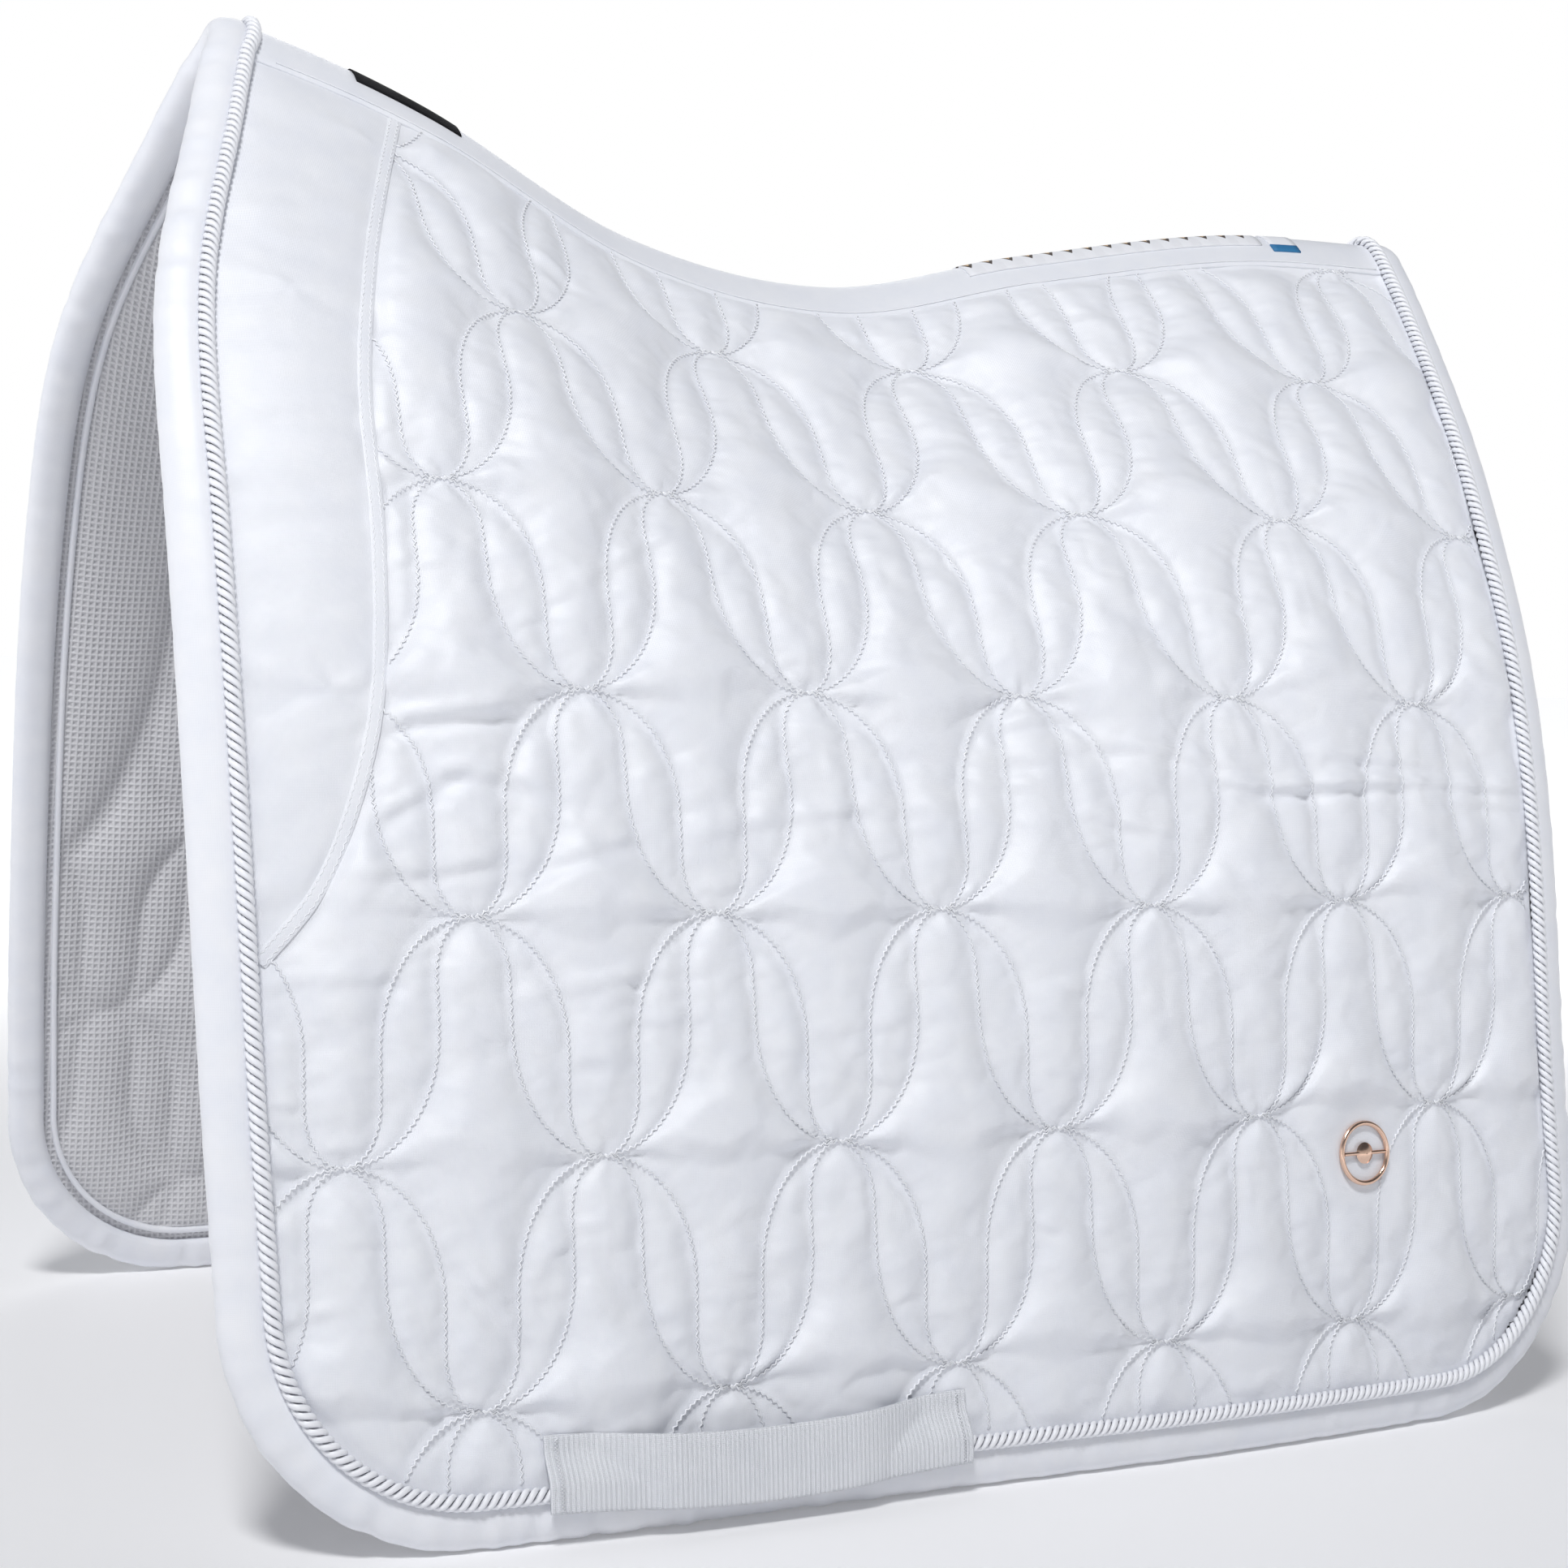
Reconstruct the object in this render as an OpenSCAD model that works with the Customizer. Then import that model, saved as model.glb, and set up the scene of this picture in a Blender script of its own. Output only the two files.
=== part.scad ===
// Quilted dressage saddle pad, standing open on its lower edges as it hangs on a horse.
// +X runs towards the horse's tail, -Y is the horse's left side, +Z is up.
// Each half is laid out on its flat pattern (x, h), where h is the height above the bottom
// edge, and is then draped over the back by its arc length s from the ridge.
// Offsets d are measured square to the cloth, outwards from the layer under the face.

/* [Pattern] */
// Width of the edge binding, from the cord's centre line to the outer edge
binding_w = 18; // [15:0.5:22]
// Radius of the cord's line at the two bottom corners
corner_r = 74; // [60:1:85]
// Half width of the spine band
band_w = 27; // [22:1:32]

/* [Drape] */
// Angle of the front edge from upright, near its foot
toe_front = 10; // [6:0.5:12]
// Angle of the rear edge from upright, near its foot
toe_rear = 4; // [2:0.5:8]
// Arc length over which the upper slope dies out
fall = 268; // [240:1:290]
// Tightness of the turn over the ridge
turn = 7; // [5:0.5:10]

/* [Layers] */
// Thickness of the wadding
wadding_t = 8; // [6:0.5:10]
// Thickness of the face and the lining cloth
cloth_t = 1; // [0.6:0.1:1.2]
// Diameter of the twisted cord
cord_d = 5.8; // [4:0.2:6]
// Thickness of the padded edge binding
binding_t = 15; // [13:0.5:17]

/* [Girth loop] */
// Start of the webbing along the bottom edge
strap_x = 109; // [100:1:120]
// Length of the webbing between its two ends
strap_len = 180; // [160:1:200]
// Width of the webbing
strap_w = 28; // [24:1:30]
// Height of the webbing's lower edge above the bottom edge
strap_h = 11.5; // [10:0.5:14]
// How far the webbing stands off the face in its middle
strap_lift = 14; // [13:0.5:16]

/* [Badge] */
// Place of the badge along the pad
badge_x = 493; // [470:1:510]
// Height of the badge above the bottom edge
badge_h = 121; // [100:1:140]
// Outer radius of the badge's ring
badge_r = 14; // [11:0.5:16]

/* [Hidden] */

white = [0.95, 0.95, 0.97];
bright = [0.98, 0.98, 1];
grey_white = [0.88, 0.88, 0.9];
rose_gold = [0.8, 0.62, 0.5];

// Outlines of the flat pattern, each a smooth curve through a few points.
ridge_line = [[0, 638], [40, 638], [120, 618], [215, 577], [315, 565], [415, 586], [535, 602], [655, 597]];
front_line = [[80, 10], [180, 5], [380, 0], [480, 4], [580, 29], [640, 44], [680, 47]];
rear_line = [[80, 612], [180, 602], [380, 599], [480, 609], [580, 621], [680, 624]];
panel_line = [
    [216, 6], [240, 26], [270, 40], [310, 51], [370, 56], [440, 58], [500, 69], [550, 83], [625, 108]
];
pad_len = 640;
withers_h = 638;
front_peak = 44;    // front outline where it crosses the ridge
panel_top = 622;    // height of the ridge above the panel's seam
spread_front = 28;
spread_mid = 40;
spread_rear = 38;
fall_power = 2.8;

gap = 0.2;          // between layers of one half
face_gap = 0.6;     // between the face and the wadding
seam_gap = 1.7;     // from the front panel's seam to the cloth on either side of it
fold_gap = 0.4;     // between the spine and each half
cord_line = binding_w;
face_edge = cord_d / 2 + 1.3;
wadding_edge = binding_w / 2;
corner_top = cord_line + corner_r;
half_top = band_w + fold_gap;
front_top = withers_h - half_top;
wadding_d = -face_gap - wadding_t;
lining_d = wadding_d - gap;
cord_mid = cord_d / 2 + 0.1;
cord_top = cord_mid + cord_d / 2;
binding_mid = -gap - wadding_t / 2;
binding_skin = 1.8;
steps = 20;         // of the sums along an arc

// ---- smooth curves and the drape ----

function last(p) = len(p) - 1;
function total(v) = v * [for (k = v) 1];
function mix(a, b, u) = a + (b - a) * u;
function ease(u) = let (c = min(max(u, 0), 1)) c * c * (3 - 2 * c);
function rise(p, i, j) = (p[j][1] - p[i][1]) / (p[j][0] - p[i][0]);
function tangent(p, i) = rise(p, max(i - 1, 0), min(i + 1, last(p)));
function span_at(p, t, i = 0) =
    i >= last(p) - 1 || t < p[i + 1][0] ? i : span_at(p, t, i + 1);
function hermite(p, i, u) =
    let (w = p[i + 1][0] - p[i][0])
    p[i][1] * (1 + 2 * u) * (1 - u) * (1 - u) + p[i + 1][1] * u * u * (3 - 2 * u)
    + w * u * (1 - u) * (tangent(p, i) * (1 - u) - tangent(p, i + 1) * u);
function curve(p, t) =
    let (c = min(max(t, p[0][0]), p[last(p)][0]), i = span_at(p, c))
    hermite(p, i, (c - p[i][0]) / (p[i + 1][0] - p[i][0]));

function ridge(x) = curve(ridge_line, x);
rear_top = ridge(pad_len) - half_top;

// Angle of the cloth from upright, at arc length s from the ridge.
function slope(x, s) =
    let (
        toe = mix(toe_front, toe_rear, x / pad_len),
        u = 2 * x / pad_len - 1,
        spread = spread_mid + (spread_rear - spread_front) / 2 * u
            + ((spread_rear + spread_front) / 2 - spread_mid) * u * u
    )
    toe + spread * exp(-pow(s / fall, fall_power)) + (90 - toe - spread) * exp(-s / turn);

// Distance out from the ridge, and height above the bottom edge, at arc length s.
function reach(x, s) =
    total([for (k = [0.5 : steps]) let (t = k / steps) sin(slope(x, s * t * t)) * 2 * t])
    * s / steps;
function height(x, s) =
    let (a = sqrt(s), b = sqrt(ridge(x)))
    total([for (k = [0.5 : steps]) let (r = mix(a, b, k / steps)) cos(slope(x, r * r)) * 2 * r])
    * (b - a) / steps;

// A point of the left half from its arc length s, which is negative on the right half.
function on_arc(x, s, d) =
    let (a = abs(s), f = slope(x, a), side = s < 0 ? -1 : 1)
    [x - x_mid, -side * (reach(x, a) + d * cos(f)), height(x, a) + d * sin(f) - z_low];
function on_half(x, h, d) = on_arc(x, max(ridge(x) - h, 0), d);

// ---- the flat outline, moved out by e from the cord's line ----

function corner(h, e) =
    corner_r - sqrt(max(pow(corner_r + e, 2) - pow(corner_top - h, 2), 0));
function front_x(h, e) =
    h < corner_top ? curve(front_line, corner_top) + corner(h, e) : curve(front_line, h) - e;
function rear_x(h, e) =
    h < corner_top ? curve(rear_line, corner_top) - corner(h, e) : curve(rear_line, h) + e;
function panel_x(h) = curve(panel_line, h);

low_x = min([for (h = [corner_top : 10 : withers_h]) front_x(h, binding_w)]);
high_x = max([for (h = [corner_top : 10 : ridge(640)]) rear_x(h, binding_w)]);
x_mid = (low_x + high_x) / 2;

// A folded strip round the pad's edge, open towards the pad, as points [e, d].
function edge_arc(w, t, from, to, n) =
    [for (k = [0 : n]) let (a = mix(from, to, k / n))
        [face_edge + w * pow(max(cos(a), 0), 0.7), binding_mid + t * sin(a)]];
function binding_profile() = concat(
    edge_arc(binding_w - face_edge, binding_t / 2, -90, 90, 8),
    edge_arc(binding_w - face_edge - binding_skin, binding_t / 2 - binding_skin, 90, -90, 6)
);

// The lowest point of the binding, which leans out with the cloth, stands at z = 0.
z_low = min([
    for (x = [90 : 50 : 540]) for (q = binding_profile())
        height(x, ridge(x) - cord_line + q[0]) + q[1] * sin(slope(x, ridge(x)))
]);

// ---- solids from grids of points ----

// A closed skin between two grids of the same size.
module skin(outer, inner) {
    rows = len(outer);
    cols = len(outer[0]);
    n = rows * cols;
    edge = concat(
        [for (j = [0 : cols - 1]) j],
        [for (i = [1 : rows - 1]) i * cols + cols - 1],
        [for (j = [cols - 2 : -1 : 0]) (rows - 1) * cols + j],
        [for (i = [rows - 2 : -1 : 1]) i * cols]
    );
    polyhedron(
        points = concat([for (r = outer) for (p = r) p], [for (r = inner) for (p = r) p]),
        faces = concat(
            [for (i = [0 : rows - 2]) for (j = [0 : cols - 2]) let (a = i * cols + j)
                each [[a, a + 1, a + cols], [a + 1, a + cols + 1, a + cols]]],
            [for (i = [0 : rows - 2]) for (j = [0 : cols - 2]) let (a = n + i * cols + j)
                each [[a, a + cols, a + 1], [a + 1, a + cols, a + cols + 1]]],
            [for (k = [0 : len(edge) - 1]) let (a = edge[k], b = edge[(k + 1) % len(edge)])
                each [[a, n + a, b], [b, n + a, n + b]]]
        )
    );
}

// A closed tube through rings of points.
module tube(rings) {
    count = len(rings);
    sides = len(rings[0]);
    polyhedron(
        points = [for (r = rings) for (p = r) p],
        faces = concat(
            [[for (k = [0 : sides - 1]) k]],
            [[for (k = [sides - 1 : -1 : 0]) (count - 1) * sides + k]],
            [for (i = [0 : count - 2]) for (k = [0 : sides - 1])
                let (a = i * sides + k, b = i * sides + (k + 1) % sides)
                each [[a, a + sides, b], [b, a + sides, b + sides]]]
        )
    );
}

module cloth(grid, d_low, d_high) {
    skin(
        [for (r = grid) [for (q = r) on_half(q[0], q[1], d_high)]],
        [for (r = grid) [for (q = r) on_half(q[0], q[1], d_low)]]
    );
}

module right_half() {
    mirror([0, 1, 0]) children();
}

// ---- grids on the flat pattern ----
// Every layer has its points above those of the layers below it, so that their facets
// are parallel and the gap between them is even.

corner_rows = 5;
upper_rows = 14;
last_row = corner_rows + upper_rows;
flap_cols = 18;
seam_cols = 3;      // of those, in front of the first even one
seam_min = 14;      // least distance from the edge to the column along the seam

// Height of row k where the half's top is at height top: close together round the corner.
function row_h(k, top) =
    k <= corner_rows
        ? corner_top - (corner_r - face_edge) * cos(90 * k / corner_rows)
        : mix(corner_top, top, (k - corner_rows) / upper_rows);

function row_front(k) = front_x(row_h(k, front_top), -face_edge);
function row_rear(k) = rear_x(row_h(k, rear_top), -face_edge);
function row_seam(k) =
    max(row_front(k) + seam_min, panel_x(row_h(k, panel_top - half_top)) + seam_gap);

// Places along a row, with one at the seam, a few on both sides of it and the rest even.
function quilt_columns(front, seam, rear) =
    let (even = mix(front, rear, seam_cols / flap_cols))
    concat(
        [for (j = [0 : seam_cols - 1]) mix(seam, even, j / seam_cols)],
        [for (j = [seam_cols : flap_cols]) mix(front, rear, j / flap_cols)]
    );
function columns(front, seam, rear) =
    concat([front, mix(front, seam, 0.5)], quilt_columns(front, seam, rear));
function on_row(k, xs) = [for (x = xs) [x, row_h(k, ridge(x) - half_top)]];

// The whole half, out to the edge of the face.
function whole_grid() = [
    for (k = [0 : last_row]) on_row(k, columns(row_front(k), row_seam(k), row_rear(k)))
];

// The quilted part: the half behind the front panel.
function quilt_grid() = [
    for (k = [0 : last_row])
        let (
            xs = quilt_columns(row_front(k), row_seam(k), row_rear(k)),
            above = row_h(k, panel_top - half_top) > panel_line[0][0]
        )
        on_row(k, above ? xs : concat([row_front(k)], [for (j = [1 : last(xs)]) xs[j]]))
];

// The whole half with one more line of points outside it, in the middle of the binding.
function wadding_grid() =
    let (
        r = corner_r + wadding_edge,
        x_a = curve(front_line, corner_top) + corner_r,
        x_b = curve(rear_line, corner_top) - corner_r,
        turns = concat([4, 9], [for (k = [1 : corner_rows]) 90 * k / corner_rows]),
        inner = whole_grid(),
        rows = concat([[for (q = inner[0]) [q[0], corner_top - r]]], inner)
    )
    [
        for (k = [0 : last(rows)])
            let (
                a = k <= last(turns) ? turns[k] : 90,
                h_a = k <= last(turns) ? corner_top - r * cos(a) : row_h(k - 1, front_top),
                h_b = k <= last(turns) ? h_a : row_h(k - 1, rear_top),
                front = k < last(turns) ? x_a - r * sin(a) : front_x(h_a, wadding_edge),
                rear = k < last(turns) ? x_b + r * sin(a) : rear_x(h_b, wadding_edge)
            )
            concat([[front, h_a]], rows[k], [[rear, h_b]])
    ];

// A strip between two distances from the panel's seam line.
function seam_strip(low, high, e, cols, rows, foot) = [
    for (i = [0 : rows])
        let (
            q = pow(i / rows, 1.3),
            h = mix(foot, panel_top - half_top, q),
            edge = front_x(mix(foot, front_top, q), e),
            from = low == undef ? edge : max(edge, panel_x(h) + low),
            to = max(panel_x(h) + high, from + 1)
        )
        [for (j = [0 : cols]) let (x = mix(from, to, j / cols)) [x, mix(foot, ridge(x) - half_top, q)]]
];

module face() {
    color(white) cloth(quilt_grid(), 0, cloth_t);
}

module front_panel() {
    color(bright)
        cloth(seam_strip(undef, -seam_gap, -face_edge, 5, 16, panel_line[0][0] + 12), 0, cloth_t);
}

module panel_piping() {
    color(bright)
        cloth(
            seam_strip(-2, 4, -face_edge, 2, 18, panel_line[0][0] + 8),
            cloth_t + gap, cloth_t + gap + 1.4
        );
}

module wadding() {
    color(bright) cloth(wadding_grid(), wadding_d, -face_gap);
}

module lining() {
    color(grey_white) cloth(whole_grid(), lining_d - cloth_t, lining_d);
}

// ---- cord and binding along the edge ----

edge_rows = 22;
spine_rows = 6;
corner_steps = 7;
bottom_steps = 8;

// Points (x, h) of the line at e, down the front, along the bottom and up the rear.
function edge_line(e) =
    let (
        x_a = curve(front_line, corner_top) + corner_r,
        x_b = curve(rear_line, corner_top) - corner_r
    )
    concat(
        [for (i = [0 : edge_rows - 1])
            let (h = mix(front_top, corner_top, i / edge_rows)) [front_x(h, e), h]],
        [for (i = [0 : corner_steps]) let (a = 90 * i / corner_steps)
            [x_a - (corner_r + e) * cos(a), corner_top - (corner_r + e) * sin(a)]],
        [for (i = [1 : bottom_steps - 1]) [mix(x_a, x_b, i / bottom_steps), cord_line - e]],
        [for (i = [0 : corner_steps]) let (a = 90 * i / corner_steps)
            [x_b + (corner_r + e) * sin(a), corner_top - (corner_r + e) * cos(a)]],
        [for (i = [1 : edge_rows]) let (h = mix(corner_top, rear_top, i / edge_rows))
            [rear_x(h, e), h]]
    );

// A profile is a list of [e, d]; the edge is swept with one line per profile point.
module edge_sweep(profile) {
    lines = [for (q = profile) edge_line(q[0])];
    tube([
        for (i = [0 : len(lines[0]) - 1])
            [for (k = [0 : len(profile) - 1]) on_half(lines[k][i][0], lines[k][i][1], profile[k][1])]
    ]);
}

// Ends of the spine at arc length s: they round off from the two halves over the ridge.
function spine_front(s) = mix(front_peak, front_x(front_top, 0), pow(s / band_w, 2));
function spine_rear(s) = mix(rear_x(ridge(pad_len), 0), rear_x(rear_top, 0), pow(s / band_w, 2));

// The same profile carried over the ridge, at the front (way = -1) or the rear (way = 1).
module ridge_sweep(profile, way) {
    tube([
        for (i = [-spine_rows : 2 : spine_rows])
            let (
                s = way * i / spine_rows * band_w,
                start = way < 0 ? spine_front(s) : spine_rear(s)
            )
            [for (q = profile) on_arc(start + way * q[0], s, q[1])]
    ]);
}

function cord_profile(sides = 8) =
    [for (k = [0 : sides - 1]) let (a = 360 * k / sides)
        [cord_d / 2 * cos(a), cord_mid + cord_d / 2 * sin(a)]];

module cord() {
    color(bright) edge_sweep(cord_profile());
}

module binding() {
    color(white) edge_sweep(binding_profile());
}

// ---- girth loop ----

strap_sewn = 9;
strap_t = 1.6;
strap_rise = 34;

// Inner side of the webbing: it clears the cord, and stands off the face in the middle.
function strap_d(x, h) =
    let (
        near = min(x - strap_x, strap_x + strap_len - x) - strap_sewn,
        over_cord = cloth_t + 0.3 + (cord_top - cloth_t) * ease((cord_line + 9 - h) / 5),
        lift = strap_lift * ease(near / strap_rise)
    )
    max(over_cord, lift);

function strap_grid(x_from, x_to, cols) = [
    for (i = [0 : 5])
        [for (j = [0 : cols]) [mix(x_from, x_to, j / cols), strap_h + strap_w * i / 5]]
];

module on_strap(grid, low, high) {
    skin(
        [for (r = grid) [for (q = r) on_half(q[0], q[1], strap_d(q[0], q[1]) + high)]],
        [for (r = grid) [for (q = r) on_half(q[0], q[1], strap_d(q[0], q[1]) + low)]]
    );
}

module girth_strap() {
    color(bright) on_strap(strap_grid(strap_x, strap_x + strap_len, 24), 0, strap_t);
}

module strap_tacks() {
    tack = 1.2;
    for (x = [2.5, 6, strap_len - 6 - tack, strap_len - 2.5 - tack])
        color(white)
            on_strap(strap_grid(strap_x + x, strap_x + x + tack, 1), strap_t + 0.1, strap_t + 0.6);
}

// ---- the spine ----

// Labels: where they start and end along the pad, half width, thickness.
withers_label_at = [87, 134, 13.5, 0.6];
back_label_at = [387, 552, 13, 0.5];
size_tag_at = [557, 573, 17.5, 0.5];
label_d = cloth_t + 0.2;

// A strip over the ridge between two offsets, through a grid of [x, s].
module over_ridge(grid, low, high) {
    skin(
        [for (r = grid) [for (q = r) on_arc(q[0], q[1], low)]],
        [for (r = grid) [for (q = r) on_arc(q[0], q[1], high)]]
    );
}

// The spine's own grid, whose ends reach e beyond the edge of its face.
function spine_grid(e) = [
    for (i = [0 : spine_rows])
        let (
            s = mix(band_w, -band_w, i / spine_rows),
            front = spine_front(s) + face_edge,
            rear = spine_rear(s) - face_edge,
            xs = columns(front, row_seam(last_row), rear)
        )
        [for (x = e > 0 ? concat([front - e], xs, [rear + e]) : xs) [x, s]]
];

module spine_band() {
    color(bright) over_ridge(spine_grid(0), 0, cloth_t);
}

module spine_core() {
    color(white) over_ridge(spine_grid(wadding_edge + face_edge), wadding_d, -face_gap);
}

module spine_tape() {
    color(grey_white) over_ridge(spine_grid(0), lining_d - cloth_t, lining_d);
}

module label(at, cols) {
    grid = [
        for (i = [0 : spine_rows])
            [for (j = [0 : cols]) [mix(at[0], at[1], j / cols), mix(at[2], -at[2], i / spine_rows)]]
    ];
    over_ridge(grid, label_d, label_d + at[3]);
}

module withers_label() {
    color([0.05, 0.05, 0.05]) label(withers_label_at, 5);
}

module back_label() {
    color([0.85, 0.75, 0.55]) label(back_label_at, 12);
}

module size_tag() {
    color([0.1, 0.35, 0.6]) label(size_tag_at, 2);
}

// ---- badge ----

ring_wire = 1.1;

// Moves a piece drawn flat, with +Z outwards and +Y upwards, onto the cloth at the badge.
module at_badge(d) {
    out = on_half(badge_x, badge_h, d + 1) - on_half(badge_x, badge_h, d);
    along = on_half(badge_x + 5, badge_h, d) - on_half(badge_x - 5, badge_h, d);
    x_dir = along / norm(along);
    y_dir = cross(out, x_dir);
    tilt = asin(y_dir[2]);
    yaw = atan2(x_dir[1], x_dir[0]);
    translate(on_half(badge_x, badge_h, d)) rotate([0, 0, yaw]) rotate([tilt, 0, 0]) children();
}

module badge_ring() {
    color(rose_gold) at_badge(cloth_t + 0.2 + ring_wire)
        rotate_extrude($fn = 64) translate([badge_r - ring_wire, 0]) circle(r = ring_wire, $fn = 24);
}

// A plain domed stud on a level bar, held inside the ring.
module badge_emblem() {
    inner = badge_r - 2 * ring_wire;
    color(rose_gold) at_badge(cloth_t + 0.2 + ring_wire) {
        rotate([0, 90, 0]) cylinder(r = 0.8, h = 2 * inner - 0.2, center = true, $fn = 24);
        intersection() {
            translate([0, 0, -6.5]) sphere(r = 8, $fn = 48);
            cylinder(r = 4.6, h = 4, $fn = 48);
        }
    }
}

prong_r = 0.7;
prong_x = badge_r - ring_wire;
washer_t = 0.5;
washer_d = lining_d - cloth_t - 0.8;

module badge_prongs() {
    length = cloth_t - washer_d + 0.1;
    color(rose_gold) at_badge(washer_d)
        for (side = [-1, 1])
            translate([side * prong_x, 0, -0.6]) cylinder(r = prong_r, h = length, $fn = 24);
}

module badge_washer() {
    color("silver") at_badge(washer_d - washer_t) difference() {
        cylinder(r = badge_r + 2, h = washer_t, $fn = 64);
        for (side = [-1, 1])
            translate([side * prong_x, 0, -1]) cylinder(r = prong_r + 0.15, h = 3, $fn = 24);
        translate([0, 0, -1]) cylinder(r = badge_r - 5, h = 3, $fn = 64);
    }
}

spine_band();
spine_core();
spine_tape();
color(white) ridge_sweep(binding_profile(), -1);  // front_spine_binding
color(white) ridge_sweep(binding_profile(), 1);  // rear_spine_binding
color(bright) ridge_sweep(cord_profile(), -1);  // front_spine_cord
color(bright) ridge_sweep(cord_profile(), 1);  // rear_spine_cord
withers_label();
back_label();
size_tag();
face();  // left_face
front_panel();  // left_front_panel
panel_piping();  // left_panel_piping
wadding();  // left_wadding
lining();  // left_lining
cord();  // left_cord
binding();  // left_binding
girth_strap();  // left_girth_strap
strap_tacks();  // left_strap_tacks
right_half() face();  // right_face
right_half() front_panel();  // right_front_panel
right_half() panel_piping();  // right_panel_piping
right_half() wadding();  // right_wadding
right_half() lining();  // right_lining
right_half() cord();  // right_cord
right_half() binding();  // right_binding
right_half() girth_strap();  // right_girth_strap
right_half() strap_tacks();  // right_strap_tacks
badge_ring();
badge_emblem();
badge_prongs();
badge_washer();
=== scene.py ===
"""Visual model of a quilted dressage saddle pad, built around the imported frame.

Shapes are laid out on the flat pattern in millimetres: x along the pad, h above its bottom
edge, d square to the cloth. They are draped over the back by their arc length s from the
ridge, as the CAD source does, and written to meshes in metres.
"""

import math

import bpy
import numpy as np
from mathutils import Matrix, Vector
from mathutils.kdtree import KDTree


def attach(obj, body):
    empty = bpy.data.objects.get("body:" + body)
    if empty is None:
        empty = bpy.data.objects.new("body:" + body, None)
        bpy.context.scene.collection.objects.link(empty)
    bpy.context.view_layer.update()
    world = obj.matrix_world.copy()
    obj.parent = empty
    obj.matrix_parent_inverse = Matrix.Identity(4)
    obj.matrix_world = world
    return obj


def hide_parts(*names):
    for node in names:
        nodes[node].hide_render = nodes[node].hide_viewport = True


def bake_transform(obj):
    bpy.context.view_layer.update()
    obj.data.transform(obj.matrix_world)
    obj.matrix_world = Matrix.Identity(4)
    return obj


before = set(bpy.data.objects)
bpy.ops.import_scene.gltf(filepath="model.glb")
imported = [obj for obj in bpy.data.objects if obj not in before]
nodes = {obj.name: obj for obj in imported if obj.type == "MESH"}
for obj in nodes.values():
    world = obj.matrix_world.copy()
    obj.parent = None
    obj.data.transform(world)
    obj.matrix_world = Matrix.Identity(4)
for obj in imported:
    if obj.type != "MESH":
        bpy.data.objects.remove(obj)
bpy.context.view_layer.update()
scene = bpy.context.scene
MM = 0.001
rng = np.random.default_rng(7)

# ---- driving sizes, as in the CAD source ----

BINDING_W = 18.0
BINDING_LIP = 4.2
BINDING_T = 15.0
CORNER_R = 74.0
BAND_W = 27.0
FOLD_GAP = 0.4
CORD_LINE = BINDING_W
CORD_R = 3.3
CORNER_TOP = CORD_LINE + CORNER_R
TOE_FRONT, TOE_REAR = 10.0, 4.0
SPREAD_FRONT, SPREAD_MID, SPREAD_REAR = 28.0, 40.0, 38.0
FALL, FALL_POWER, TURN = 268.0, 2.8, 7.0
CLOTH_T = 1.0
WADDING_T = 8.0
BINDING_MID = -0.2 - WADDING_T / 2
LINING_D = -0.8 - WADDING_T - CLOTH_T
PAD_LEN, WITHERS_H, FRONT_PEAK = 640.0, 638.0, 44.0
RIDGE = [
    (0, 638), (40, 638), (120, 618), (215, 577), (315, 565), (415, 586), (535, 602), (655, 597)
]
FRONT = [(80, 10), (180, 5), (380, 0), (480, 4), (580, 29), (640, 44), (680, 47)]
REAR = [(80, 612), (180, 602), (380, 599), (480, 609), (580, 621), (680, 624)]
PANEL = [
    (216, 6), (240, 26), (270, 40), (310, 51), (370, 56), (440, 58), (500, 69), (550, 83), (625, 108)
]
STRAP_X, STRAP_LEN, STRAP_W, STRAP_H = 109.0, 180.0, 28.0, 11.5
STRAP_LIFT, STRAP_RISE, STRAP_SEWN = 10.5, 45.0, 9.0
BADGE_X, BADGE_H, BADGE_R = 493.0, 121.0, 14.0

# ---- sizes of the visual model ----

SEAM_W = 5.2        # strip over the front panel's seam
BAND_D = 1.9        # top of the spine band
WAFFLE = 3.0        # pitch of the lining's ribs
WAFFLE_X = -20.0    # where one of them runs
MOTIF_PITCH = 11.0  # from one woven diamond to the next


def mix(a, b, u):
    return a + (b - a) * u


def ease(u):
    c = np.clip(u, 0, 1)
    return c * c * (3 - 2 * c)


def curve(points, t):
    """A smooth curve through the points, read at t and held level past its ends."""
    p = np.asarray(points, float)
    at, v = p[:, 0], p[:, 1]
    m = np.empty(len(p))
    m[1:-1] = (v[2:] - v[:-2]) / (at[2:] - at[:-2])
    m[0] = (v[1] - v[0]) / (at[1] - at[0])
    m[-1] = (v[-1] - v[-2]) / (at[-1] - at[-2])
    t = np.clip(np.asarray(t, float), at[0], at[-1])
    i = np.clip(np.searchsorted(at, t, side="right") - 1, 0, len(p) - 2)
    w = at[i + 1] - at[i]
    u = (t - at[i]) / w
    ends = v[i] * (1 + 2 * u) * (1 - u) ** 2 + v[i + 1] * u * u * (3 - 2 * u)
    return ends + w * u * (1 - u) * (m[i] * (1 - u) - m[i + 1] * u)


def ridge(x):
    return curve(RIDGE, x)


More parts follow.
